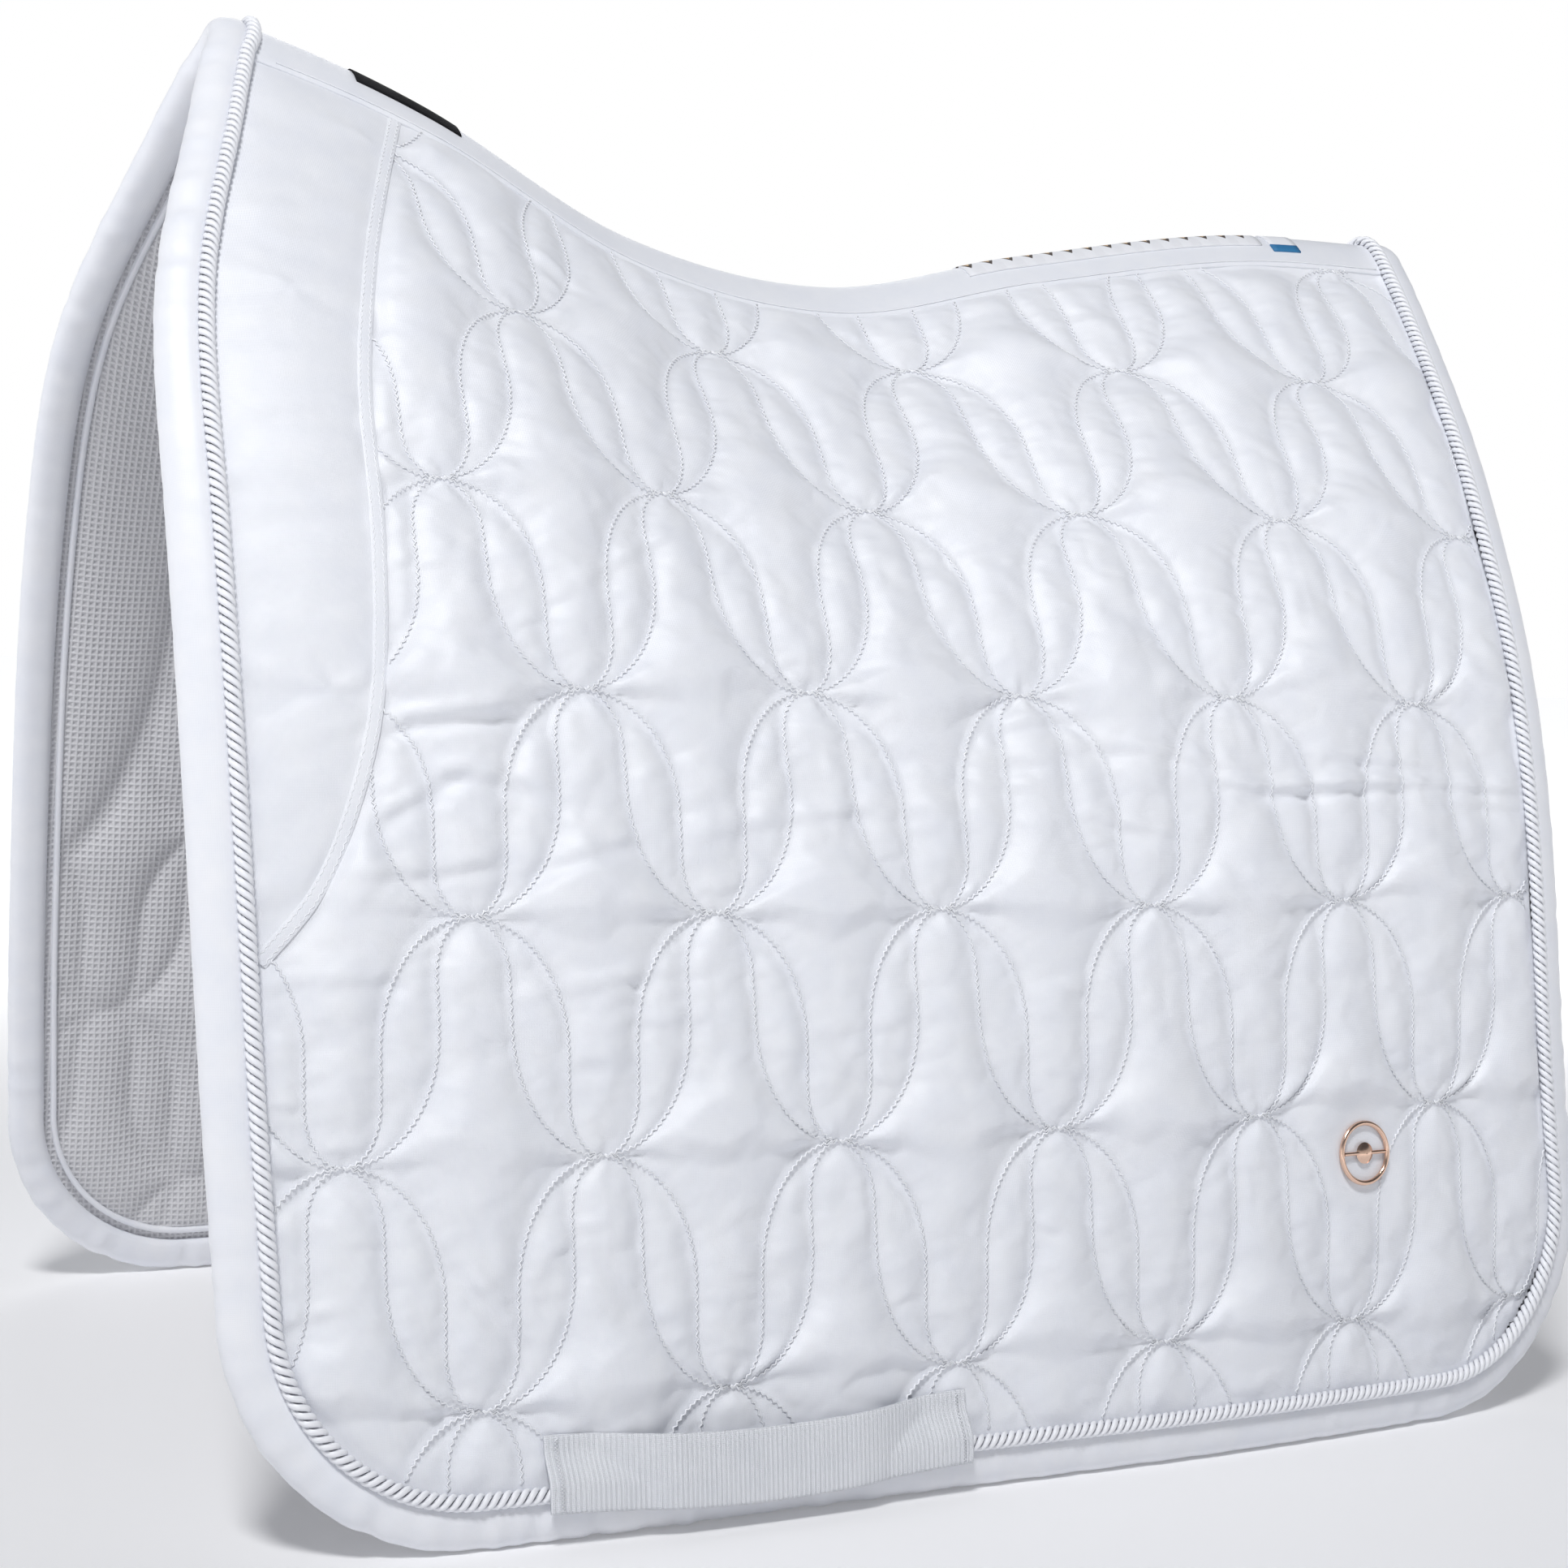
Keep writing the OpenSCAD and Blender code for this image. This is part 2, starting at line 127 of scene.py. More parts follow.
def slope(x, s):
    """Lean of the cloth from upright: level at the ridge, nearly upright at the bottom."""
    toe = mix(TOE_FRONT, TOE_REAR, x / PAD_LEN)
    u = 2 * x / PAD_LEN - 1
    spread = (
        SPREAD_MID
        + (SPREAD_REAR - SPREAD_FRONT) / 2 * u
        + ((SPREAD_REAR + SPREAD_FRONT) / 2 - SPREAD_MID) * u * u
    )
    upper = spread * np.exp(-((np.maximum(s, 0) / FALL) ** FALL_POWER))
    return np.radians(toe + upper + (90 - toe - spread) * np.exp(-s / TURN))


HALF_TOP = BAND_W + FOLD_GAP
FRONT_TOP = WITHERS_H - HALF_TOP
REAR_PEAK_H = float(ridge(PAD_LEN))
REAR_TOP = REAR_PEAK_H - HALF_TOP
FRONT_TURN = float(curve(FRONT, CORNER_TOP)) + CORNER_R
REAR_TURN = float(curve(REAR, CORNER_TOP)) - CORNER_R
low_x = min(float(curve(FRONT, h)) - BINDING_W for h in np.arange(CORNER_TOP, WITHERS_H, 10))
high_x = max(float(curve(REAR, h)) + BINDING_W for h in np.arange(CORNER_TOP, REAR_PEAK_H, 10))
X_MID = (low_x + high_x) / 2
Z_LOW = 0.0         # until the lowest point is known, below
STEPS = 20          # steps of the sum along an arc


def on_arc(x, s, d=0.0):
    """Points of the left half at place x, arc length s from the ridge and offset d."""
    x, s, d = np.broadcast_arrays(
        np.asarray(x, float), np.maximum(np.asarray(s, float), 0), np.asarray(d, float)
    )
    t = (np.arange(STEPS) + 0.5) / STEPS
    a, b = np.sqrt(s), np.sqrt(ridge(x))
    out = np.zeros(x.shape)
    up = np.zeros(x.shape)
    for k in t:
        out += np.sin(slope(x, s * k * k)) * 2 * k
        r = mix(a, b, k)
        up += np.cos(slope(x, r * r)) * 2 * r
    f = slope(x, s)
    out = out * s / STEPS + d * np.cos(f)
    up = up * (b - a) / STEPS + d * np.sin(f)
    return np.stack([x - X_MID, -out, up - Z_LOW], -1)


def on_half(x, h, d=0.0):
    """The same, from a place on the flat pattern."""
    return on_arc(x, np.maximum(ridge(x) - np.asarray(h, float), 0), d)


# The pad stands on the binding's lowest point.
roll_a = np.radians(np.linspace(-90, 90, 9))
roll_e = mix(BINDING_LIP, BINDING_W, np.maximum(np.cos(roll_a), 0) ** 0.7)
roll_d = BINDING_MID + BINDING_T / 2 * np.sin(roll_a)
bottom = on_half(np.arange(90, 541, 50)[:, None], CORD_LINE - roll_e[None, :], roll_d[None, :])
Z_LOW = float(bottom[..., 2].min())

# ---- camera ----

CAMERA_AT = Vector((-255.2 - X_MID, -1152.4, 344.75 - Z_LOW)) * MM
YAW, PITCH, ROLL = (math.radians(a) for a in (25.977, 3.581, 2.228))
LENS = 63.12


def make_camera():
    ahead = Vector(
        (math.sin(YAW) * math.cos(PITCH), math.cos(YAW) * math.cos(PITCH), -math.sin(PITCH))
    )
    level = Vector((math.cos(YAW), -math.sin(YAW), 0))
    upright = level.cross(ahead)
    right = level * math.cos(ROLL) + upright * math.sin(ROLL)
    top = upright * math.cos(ROLL) - level * math.sin(ROLL)
    turn = Matrix((right, top, -ahead)).transposed().to_4x4()
    camera = bpy.data.objects.new("Camera", bpy.data.cameras.new("Camera"))
    camera.matrix_world = Matrix.Translation(CAMERA_AT) @ turn
    camera.data.lens = LENS
    camera.data.sensor_width = 36
    camera.data.clip_start = 0.05
    camera.data.clip_end = 40
    scene.collection.objects.link(camera)
    scene.camera = camera
    scene.view_settings.view_transform = "Standard"


make_camera()

# ---- materials ----


def tree(name):
    """A new material, its nodes and links, and its shader."""
    made = bpy.data.materials.new(name)
    made.use_nodes = True
    t = made.node_tree
    return made, t.nodes, t.links, t.nodes["Principled BSDF"]


def set_inputs(node, **values):
    for key, value in values.items():
        node.inputs[key.replace("_", " ")].default_value = value


def colour_ramp(n, stops):
    """A ramp through stops of position and colour, the lowest first."""
    ramp = n.new("ShaderNodeValToRGB")
    marks = ramp.color_ramp.elements
    for k, (at, colour) in enumerate(stops):
        mark = marks[k] if k < 2 else marks.new(at)
        mark.position = at
        mark.color = (*colour, 1)
    return ramp


WAVE_PITCH = 0.314  # what a wave texture of scale 1 repeats at


def fabric(name, dark, light, rough, weave, bump, sheen=0.25, specular=0.5):
    """Woven cloth: fine crossed threads of a given pitch in mm, with soft blotches of tone."""
    made, n, link, shader = tree(name)
    set_inputs(
        shader, Roughness=rough, Sheen_Weight=sheen, Sheen_Roughness=0.4, Specular_IOR_Level=specular
    )
    where = n.new("ShaderNodeTexCoord")
    noise = n.new("ShaderNodeTexNoise")
    set_inputs(noise, Scale=60.0, Detail=4.0, Roughness=0.6)
    ramp = colour_ramp(n, [(0.3, dark), (0.7, light)])
    link.new(where.outputs["Object"], noise.inputs["Vector"])
    link.new(noise.outputs["Fac"], ramp.inputs["Fac"])
    link.new(ramp.outputs["Color"], shader.inputs["Base Color"])
    both = n.new("ShaderNodeMath")
    both.operation = "MULTIPLY"
    for k, direction in enumerate(("X", "Y")):
        wave = n.new("ShaderNodeTexWave")
        wave.bands_direction = direction
        set_inputs(wave, Scale=WAVE_PITCH / weave, Distortion=0.6, Detail=1.0)
        link.new(where.outputs["UV"], wave.inputs["Vector"])
        link.new(wave.outputs["Fac"], both.inputs[k])
    relief = n.new("ShaderNodeBump")
    set_inputs(relief, Strength=bump, Distance=0.0003)
    link.new(both.outputs["Value"], relief.inputs["Height"])
    link.new(relief.outputs["Normal"], shader.inputs["Normal"])
    return made


def pattern_on(name, rough, formula, stops, depth=0.0006):
    """Cloth coloured by a formula of the flat place, with the colours of the ramp's stops."""
    made, n, link, shader = tree(name)
    set_inputs(shader, Roughness=rough)
    where = n.new("ShaderNodeTexCoord")
    split = n.new("ShaderNodeSeparateXYZ")
    link.new(where.outputs["UV"], split.inputs["Vector"])

    def maths(kind, a, b=None):
        node = n.new("ShaderNodeMath")
        node.operation = kind
        for k, value in enumerate((a, b)):
            if isinstance(value, (int, float)):
                node.inputs[k].default_value = value
            elif value is not None:
                link.new(value, node.inputs[k])
        return node.outputs["Value"]

    level = formula(maths, split.outputs["X"], split.outputs["Y"])
    ramp = colour_ramp(n, stops)
    relief = n.new("ShaderNodeBump")
    set_inputs(relief, Strength=0.7, Distance=depth)
    link.new(level, ramp.inputs["Fac"])
    link.new(ramp.outputs["Color"], shader.inputs["Base Color"])
    link.new(level, relief.inputs["Height"])
    link.new(relief.outputs["Normal"], shader.inputs["Normal"])
    return made


def waffle_relief_and_shade(maths, x, h):
    """1 on the ribs of the waffle, 0 in the middle of its pits; it drives the bump, and the darker colour
    in the pits is painted shade.
    """
    ribs = []
    for value, at in ((x, WAFFLE_X), (h, 0.0)):
        angle = maths("MULTIPLY", maths("SUBTRACT", value, at), 2 * math.pi / WAFFLE)
        ribs.append(maths("MULTIPLY", maths("ADD", maths("COSINE", angle), 1.0), 0.5))
    return maths("MAXIMUM", *ribs)


def motif_level(maths, x, s):
    """A row of diamonds across the ridge: small in the middle of one, 1 between them."""
    part = maths("FRACT", maths("DIVIDE", x, MOTIF_PITCH))
    off_middle = maths("ABSOLUTE", maths("SUBTRACT", part, 0.5))
    return maths("ADD", maths("MULTIPLY", off_middle, 1.7), maths("DIVIDE", s, MOTIF_PITCH))


def strand_relief_and_shade(maths, _, r):
    """0 down between the strands of the cord, 1 on top of them; r is the distance from its middle. Its
    dark colour between the strands is painted shade.
    """
    return maths("DIVIDE", maths("SUBTRACT", r, 1.9), 1.4)


def tag_level(maths, _, s):
    """Across the tag, from 0 at the ridge."""
    return maths("DIVIDE", s, 20.0)


def metal(name, colour, rough):
    """Polished metal with faint changes of tone and gloss."""
    made, n, link, shader = tree(name)
    set_inputs(shader, Metallic=1.0)
    where = n.new("ShaderNodeTexCoord")
    noise = n.new("ShaderNodeTexNoise")
    set_inputs(noise, Scale=900.0, Detail=3.0)
    ramp = colour_ramp(n, [(0.0, [c * 0.9 for c in colour]), (1.0, colour)])
    gloss = n.new("ShaderNodeMapRange")
    set_inputs(gloss, To_Min=rough * 0.8, To_Max=rough * 1.3)
    link.new(where.outputs["Object"], noise.inputs["Vector"])
    link.new(noise.outputs["Fac"], ramp.inputs["Fac"])
    link.new(noise.outputs["Fac"], gloss.inputs["Value"])
    link.new(ramp.outputs["Color"], shader.inputs["Base Color"])
    link.new(gloss.outputs["Result"], shader.inputs["Roughness"])
    return made


satin = fabric("satin_cotton", (0.80, 0.82, 0.88), (0.84, 0.855, 0.90), rough=0.42, weave=0.6, bump=0.25)
edging = fabric("edge_binding", (0.80, 0.82, 0.88), (0.85, 0.86, 0.90), rough=0.45, weave=0.6, bump=0.12)
webbing = fabric("webbing", (0.78, 0.80, 0.85), (0.83, 0.845, 0.89), rough=0.55, weave=0.7, bump=0.9)
thread = fabric("thread", (0.88, 0.895, 0.94), (0.91, 0.925, 0.96), rough=0.4, weave=0.3, bump=0.3)
black = fabric(
    "black_label", (0.006, 0.006, 0.007), (0.014, 0.014, 0.016), rough=0.75, weave=0.6, bump=0.5,
    sheen=0.0, specular=0.15,
)
PALE = (0.82, 0.83, 0.87)
# The lining's colour is painted shade: a darker grey than the face for the shade inside the pad, and
# darker still in the waffle's pits.
waffle = pattern_on("waffle_lining", 0.85, waffle_relief_and_shade, [
    (0.1, (0.58, 0.58, 0.61)), (0.8, (0.70, 0.70, 0.725)),
], depth=0.0012)
# The cord's colour is dark low between its strands and bright on top of them; the dark between the
# strands is painted shade.
cord_with_painted_shade = pattern_on("twisted_cord", 0.38, strand_relief_and_shade, [
    (0.0, (0.30, 0.31, 0.34)), (0.35, (0.60, 0.61, 0.66)), (0.75, (0.90, 0.91, 0.95)),
], depth=0.0001)
motif = pattern_on("woven_motif", 0.6, motif_level, [
    (0.0, (0.55, 0.36, 0.16)), (0.35, (0.62, 0.42, 0.20)),
    (0.38, (0.05, 0.035, 0.03)), (0.62, (0.06, 0.04, 0.03)), (0.66, PALE),
])
blue = pattern_on("blue_tag", 0.6, tag_level, [
    (0.0, PALE), (0.60, PALE), (0.62, (0.02, 0.15, 0.34)), (0.9, (0.03, 0.19, 0.40)),
])
rose_gold = metal("rose_gold", (0.86, 0.60, 0.47), 0.2)
steel = metal("washer_steel", (0.62, 0.63, 0.65), 0.35)

# ---- meshes from grids of points ----


def unit(v):
    return v / np.maximum(np.linalg.norm(v, axis=-1, keepdims=True), 1e-12)


def flat_map(a, b):
    """Two coordinates of every point, spread over the whole grid."""
    return np.stack(np.broadcast_arrays(a, b), -1)


def grid_quads(rows, cols, around=False):
    """Quads of a grid of rows x cols points; around joins its last column to its first."""
    i = np.arange(rows - 1)[:, None]
    j = np.arange(cols if around else cols - 1)[None, :]
    k = (j + 1) % cols
    corners = [i * cols + j, i * cols + k, (i + 1) * cols + k, (i + 1) * cols + j]
    return np.stack(corners, -1).reshape(-1, 4)


def build(name, points, quads, material, uv=None):
    """A smooth mesh object of the points that the quads use."""
    used, index = np.unique(quads, return_inverse=True)
    quads = index.reshape(quads.shape)
    points = points.reshape(-1, 3)[used]
    mesh = bpy.data.meshes.new(name)
    mesh.from_pydata((points * MM).tolist(), [], quads.tolist())
    mesh.polygons.foreach_set("use_smooth", np.ones(len(quads), bool))
    if uv is not None:
        layer = mesh.uv_layers.new(name="flat")
        corner = np.empty(len(mesh.loops), np.int32)
        mesh.loops.foreach_get("vertex_index", corner)
        layer.data.foreach_set("uv", uv.reshape(-1, 2)[used][corner].astype(np.float32).ravel())
    mesh.materials.append(material)
    obj = bpy.data.objects.new(name, mesh)
    scene.collection.objects.link(obj)
    return obj


SIDES = (("left", 1), ("right", -1))


def place(obj, side, how):
    """Rides on one half, or is left apart from both halves with its placement baked into its points."""
    if how == "ride":
        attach(obj, f"{side}_half")
    else:
        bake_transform(obj)


def pair(stem, points, quads, material, replaces=(), how="ride", uv=None):
    """The same piece on both halves, mirrored. replaces may hold SIDE for the half's name."""
    made = []
    for side, way in SIDES:
        flip = points * (1, way, 1)
        faces = quads if way > 0 else quads[:, ::-1]
        obj = build(f"{side}_{stem}", flip, faces, material, uv)
        place(obj, side, how)
        if replaces:
            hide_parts(*[r.replace("SIDE", side) for r in replaces])
        made.append(obj)
    return made


def slab(outer, inner):
    """Points and quads of a closed skin between two grids of the same size."""
    rows, cols = outer.shape[:2]
    n = rows * cols
    top_side = grid_quads(rows, cols)
    under = grid_quads(rows, cols)[:, ::-1] + n
    edge = np.concatenate([
        np.arange(cols),
        np.arange(1, rows) * cols + cols - 1,
        (rows - 1) * cols + np.arange(cols - 2, -1, -1),
        np.arange(rows - 2, 0, -1) * cols,
    ])
    following = np.roll(edge, -1)
    rim = np.stack([edge, edge + n, following + n, following], -1)
    points = np.concatenate([outer.reshape(-1, 3), inner.reshape(-1, 3)])
    return points, np.concatenate([top_side, under, rim])


def tubes(centres, frames, radius, sides, ribbed=0.0):
    """Tubes through lists of centre points, round or with a rib on every second side."""
    points, quads, base = [], [], 0
    a = np.arange(sides) * 2 * np.pi / sides
    ring = np.stack([np.cos(a), np.sin(a)], -1) * (1 + ribbed * (-1.0) ** np.arange(sides))[:, None]
    for c, (u, v) in zip(centres, frames):
        spokes = ring[None, :, :1] * u[:, None, :] + ring[None, :, 1:] * v[:, None, :]
        caps = []
        for k in (0, len(c) - 1):
            r = k * sides + np.arange(sides) + base
            for m in range(1, sides - 2, 2):
                cap = [r[0], r[m], r[m + 1], r[m + 2]]
                caps.append(cap if k else cap[::-1])
        points.append((c[:, None, :] + radius * spokes).reshape(-1, 3))
        quads += [grid_quads(len(c), sides, around=True) + base, np.array(caps)]
        base += len(c) * sides
    return np.concatenate(points), np.concatenate(quads)


def square_frames(c, normal):
    """Two directions square to a line of points, the second close to its normal."""
    along = unit(np.gradient(c, axis=0))
    side = unit(np.cross(along, normal))
    return side, np.cross(side, along)


# ---- the flat pattern as a grid ----

CELL = 1.5
gx = np.arange(-20, 646, CELL)
gh = np.arange(0, 640, CELL)
X, H = np.meshgrid(gx, gh)


def read(field, x, h, cell=CELL):
    """A grid's value at any place, between its four neighbours."""
    a = np.clip((np.asarray(x) - gx[0]) / cell, 0, field.shape[1] - 1.001)
    b = np.clip((np.asarray(h) - gh[0]) / cell, 0, field.shape[0] - 1.001)
    i, j = a.astype(int), b.astype(int)
    u, v = a - i, b - j
    low = mix(field[j, i], field[j, i + 1], u)
    high = mix(field[j + 1, i], field[j + 1, i + 1], u)
    return mix(low, high, v)


def cut(mask):
    """Quads of the pattern's grid whose corners are all inside the mask."""
    m = mask.ravel()
    quads = grid_quads(*mask.shape)
    return quads[m[quads].all(1)]


def outside(x, h):
    """Distance outside the cord's line; negative inside."""
    ahead_of = np.hypot(FRONT_TURN - x, CORNER_TOP - h) - CORNER_R
    behind = np.hypot(x - REAR_TURN, CORNER_TOP - h) - CORNER_R
    plain = np.maximum.reduce([curve(FRONT, h) - x, x - curve(REAR, h), CORD_LINE - h])
    e = np.where((h < CORNER_TOP) & (x < FRONT_TURN), ahead_of, plain)
    return np.where((h < CORNER_TOP) & (x > REAR_TURN), behind, e)


def past_seam(x, h):
    """Distance behind the front panel's seam; negative on the panel."""
    tilt = (curve(PANEL, h + 1) - curve(PANEL, h - 1)) / 2
    across = (x - curve(PANEL, h)) / np.sqrt(1 + tilt * tilt)
    foot_h, foot_x = PANEL[0]
    return np.where(h < foot_h, np.hypot(x - foot_x, h - foot_h) + 2, across)


E = outside(X, H)
S = ridge(X) - H
P = past_seam(X, H)

# ---- quilting lines: a half-drop lattice of knots joined by pairs of curved lines ----

PITCH_X, PITCH_H = 100.0, 90.542
KNOT_X, KNOT_H = -13.332, 49.52
DROP, DROP_FROM, DROP_MID, DROP_SPAN = 0.087, 230.0, 330.0, 320.0


def lattice(u, j):
    """Flat place of lattice coordinates; the upper rows droop towards both ends."""
    x = KNOT_X + PITCH_X * u
    h = KNOT_H + (5 - j) * PITCH_H
    return x, h - DROP * np.maximum(h - DROP_FROM, 0) * ((x - DROP_MID) / DROP_SPAN) ** 2


def swing(q):
    """Sideways run of a line, in pitches, as it goes down from one knot to the next."""
    start = 0.14 * np.sqrt(1 - (1 - np.minimum(q / 0.25, 1)) ** 2)
    s = np.maximum(0, (q - 0.45) / 0.55)
    return start + 0.36 * (1 - np.sqrt(1 - s * s))


def resample(x, h, step):
    """The line in even steps."""
    run = np.concatenate([[0], np.cumsum(np.hypot(np.diff(x), np.diff(h)))])
    at = np.arange(0, run[-1], step)
    return np.interp(at, run, x), np.interp(at, run, h)


def stretches(x, h, kept):
    """The stretches of a line that are kept."""
    edges = np.flatnonzero(np.diff(np.concatenate([[0], kept.astype(int), [0]])))
    return [(x[a:b], h[a:b]) for a, b in edges.reshape(-1, 2) if b - a > 8]


knots = [(u + (0.5 if j % 2 == 0 else 0.0), j) for j in range(-2, 7) for u in range(-1, 8)]
quilting = []
q = np.linspace(0, 1, 161)
for u, j in knots:
    for way in (-1, 1):
        for off in (swing(q), 0.5 - swing(1 - q)):
            x, h = resample(*lattice(u + way * off, j + q), 0.5)
            quilted = (outside(x, h) < -3) & (ridge(x) - h > BAND_W) & (past_seam(x, h) > SEAM_W)
            quilting += stretches(x, h, quilted)

stitch_x = np.concatenate([x[::2] for x, h in quilting])
stitch_h = np.concatenate([h[::2] for x, h in quilting])
stitch_run = np.concatenate([np.arange(len(x[::2])) + 37.0 * k for k, (x, h) in enumerate(quilting)])
FAR = 99.0


def nearest_stitch():
    """How far off each grid point's nearest stitch is, and how far along its line."""
    stitches = KDTree(len(stitch_x))
    for k, (x, h) in enumerate(zip(stitch_x.tolist(), stitch_h.tolist())):
        stitches.insert((x, h, 0), k)
    stitches.balance()
    on_pad = (E < 6) & (S > 18)
    found = [stitches.find((x, h, 0))[1:] for x, h in zip(X[on_pad].tolist(), H[on_pad].tolist())]
    off = np.full(X.shape, FAR)
    run = np.zeros(X.shape)
    off[on_pad] = [f[1] for f in found]
    run[on_pad] = stitch_run[[f[0] for f in found]]
    return np.where(P > SEAM_W / 2, off, FAR), run


near, run = nearest_stitch()

# ---- how the wadding swells between the stitches ----

# Distance from whatever holds the cloth down.
hold = np.minimum.reduce([
    near,
    np.maximum(-2.6 - E, 0),
    np.maximum(np.abs(P - SEAM_W / 2) - SEAM_W / 2, 0),
    np.maximum(S - BAND_W, 0),
])
SWELL = 12.0        # distance over which the cloth rises from a seam


def swelling():
    """Height of the cloth from 0 to 1: a skin held at its seams and pushed up evenly."""
    stiff = 1 / SWELL**2 + 5.0 * np.exp(-((hold / 0.9) ** 2))
    share = 4 + CELL**2 * stiff
    push = (CELL / SWELL) ** 2
    level = np.zeros(X.shape)
    odd = (np.add.outer(np.arange(len(gh)), np.arange(len(gx))) % 2).astype(bool)
    for _ in range(90):
        for squares in (odd, ~odd):
            around = np.zeros(X.shape)
            around[1:] += level[:-1]
            around[:-1] += level[1:]
            around[:, 1:] += level[:, :-1]
            around[:, :-1] += level[:, 1:]
            level = np.where(squares, mix(level, (around + push) / share, 1.8), level)
    return np.clip(level, 0, 1)


def blurred(field, width):
    """The field smoothed over about that many grid points, edges repeated."""
    reach = int(width * 2.5)
    kernel = np.exp(-0.5 * (np.arange(-reach, reach + 1) / width) ** 2)
    kernel /= kernel.sum()
    for axis in (0, 1):
        pad = [(reach, reach) if k == axis else (0, 0) for k in (0, 1)]
        wide = np.pad(field, pad, mode="edge")
        field = np.apply_along_axis(np.convolve, axis, wide, kernel, "valid")
    return field


swell = swelling()

# ---- folds and creases ----

SIM_STEP = 2        # grid points from one point of the simulated cloth to the next
SIM_FRAMES = 16
SIM_HELD = 1.6      # how near a seam the simulated cloth is held


def cloth_folds():
    """Folds of the face, held at its stitches, a little too large for them, and pushed out."""
    cx, ch = X[::SIM_STEP, ::SIM_STEP], H[::SIM_STEP, ::SIM_STEP]
    held = hold[::SIM_STEP, ::SIM_STEP] < SIM_HELD
    start = 0.8 * swell[::SIM_STEP, ::SIM_STEP] + rng.normal(0, 0.05, cx.shape)
    points = np.stack([cx, ch, np.where(held, 0, start)], -1).reshape(-1, 3)
    quads = cut(((E < 4) & (S > BAND_W - 6))[::SIM_STEP, ::SIM_STEP])
    used, index = np.unique(quads, return_inverse=True)
    mesh = bpy.data.meshes.new("fold_test")
    mesh.from_pydata((points[used] * MM).tolist(), [], index.reshape(quads.shape).tolist())
    obj = bpy.data.objects.new("fold_test", mesh)
    scene.collection.objects.link(obj)
    group = obj.vertex_groups.new(name="held")
    group.add(np.flatnonzero(held.ravel()[used]).tolist(), 1.0, "REPLACE")
    cloth = obj.modifiers.new("cloth", "CLOTH")
    c = cloth.settings
    c.quality = 4
    c.mass = 0.2
    c.tension_stiffness = 20
    c.compression_stiffness = 20
    c.shear_stiffness = 8
    c.bending_stiffness = 0.05
    c.shrink_min = -0.035
    c.vertex_group_mass = "held"
    c.use_pressure = True
    c.uniform_pressure_force = 2.5
    c.effector_weights.gravity = 0
    cloth.collision_settings.use_collision = False
    cloth.point_cache.frame_start = 1
    cloth.point_cache.frame_end = SIM_FRAMES
    for f in range(1, SIM_FRAMES + 1):
        scene.frame_set(f)
    shown = obj.evaluated_get(bpy.context.evaluated_depsgraph_get())
    co = np.empty(len(used) * 3, np.float32)
    shown.data.vertices.foreach_get("co", co)
    lifted = np.zeros(cx.size)
    lifted[used] = co.reshape(-1, 3)[:, 2] / MM
    bpy.data.objects.remove(obj)
    scene.frame_set(1)
    return read(lifted.reshape(cx.shape), X, H, CELL * SIM_STEP)


folds = np.zeros(X.shape)
pleats = np.zeros(X.shape)
knotted = np.zeros(X.shape)


def window(x, h, reach):
    """The part of the pattern's grid within reach of a place."""
    rows = slice(*np.searchsorted(gh, (h - reach, h + reach)))
    cols = slice(*np.searchsorted(gx, (x - reach, x + reach)))
    return rows, cols


def turned(x, h, tilt, at):
    """Distances along and across a direction through a place."""
    dx, dh = X[at] - x, H[at] - h
    return dx * np.cos(tilt) + dh * np.sin(tilt), dh * np.cos(tilt) - dx * np.sin(tilt)


def step_across(b, width):
    """A ridge above and a dip below."""
    return np.exp(-((b / width - 0.75) ** 2)) - np.exp(-((b / width + 0.75) ** 2))


def add_crease(field, x, h, half, tilt, width, height):
    """A slightly bowed crease, half of its length to either side of a place."""
    at = window(x, h, half * 1.8 + 12)
    a, b = turned(x, h, tilt, at)
    bow = b - 0.12 * half * np.cos(a / half + x)
    field[at] += height * np.exp(-((a / half) ** 4)) * step_across(bow, width)


def add_wedge(x, h, tilt, length, height):
    """A fold that starts at a knot and widens away from it."""
    at = window(x, h, length * 5)
    a, b = turned(x, h, tilt, at)
    away = np.maximum(a, 0) / length
    folds[at] += height * away * np.exp(1 - away) * step_across(b, 1.2 + 0.24 * np.maximum(a, 0))


# Folds that fan out of the knots, strongest level with them.
KNOT_REACH = 24.0
for u, j in knots:
    kx, kh = lattice(u, j)
    at = window(kx, kh, 60)
    knotted[at] += np.exp(-((X[at] - kx) ** 2 + (H[at] - kh) ** 2) / KNOT_REACH**2)
    for level, lift in ((0, 1), (np.pi, -1)):
        add_wedge(kx, kh, level + rng.normal(0, 0.10), rng.uniform(14, 22), lift * rng.uniform(2.6, 3.8))
        for way in (-1, 1):
            tilt = level + way * rng.uniform(0.25, 0.5)
            add_wedge(kx, kh, tilt, rng.uniform(5, 8), lift * rng.uniform(0.2, 0.9))
    for middle in (np.pi / 2, -np.pi / 2):
        for way in (-0.4, 0.1, 0.5):
            add_wedge(kx, kh, middle + way + rng.normal(0, 0.1), rng.uniform(3, 5), rng.uniform(0.2, 0.6))

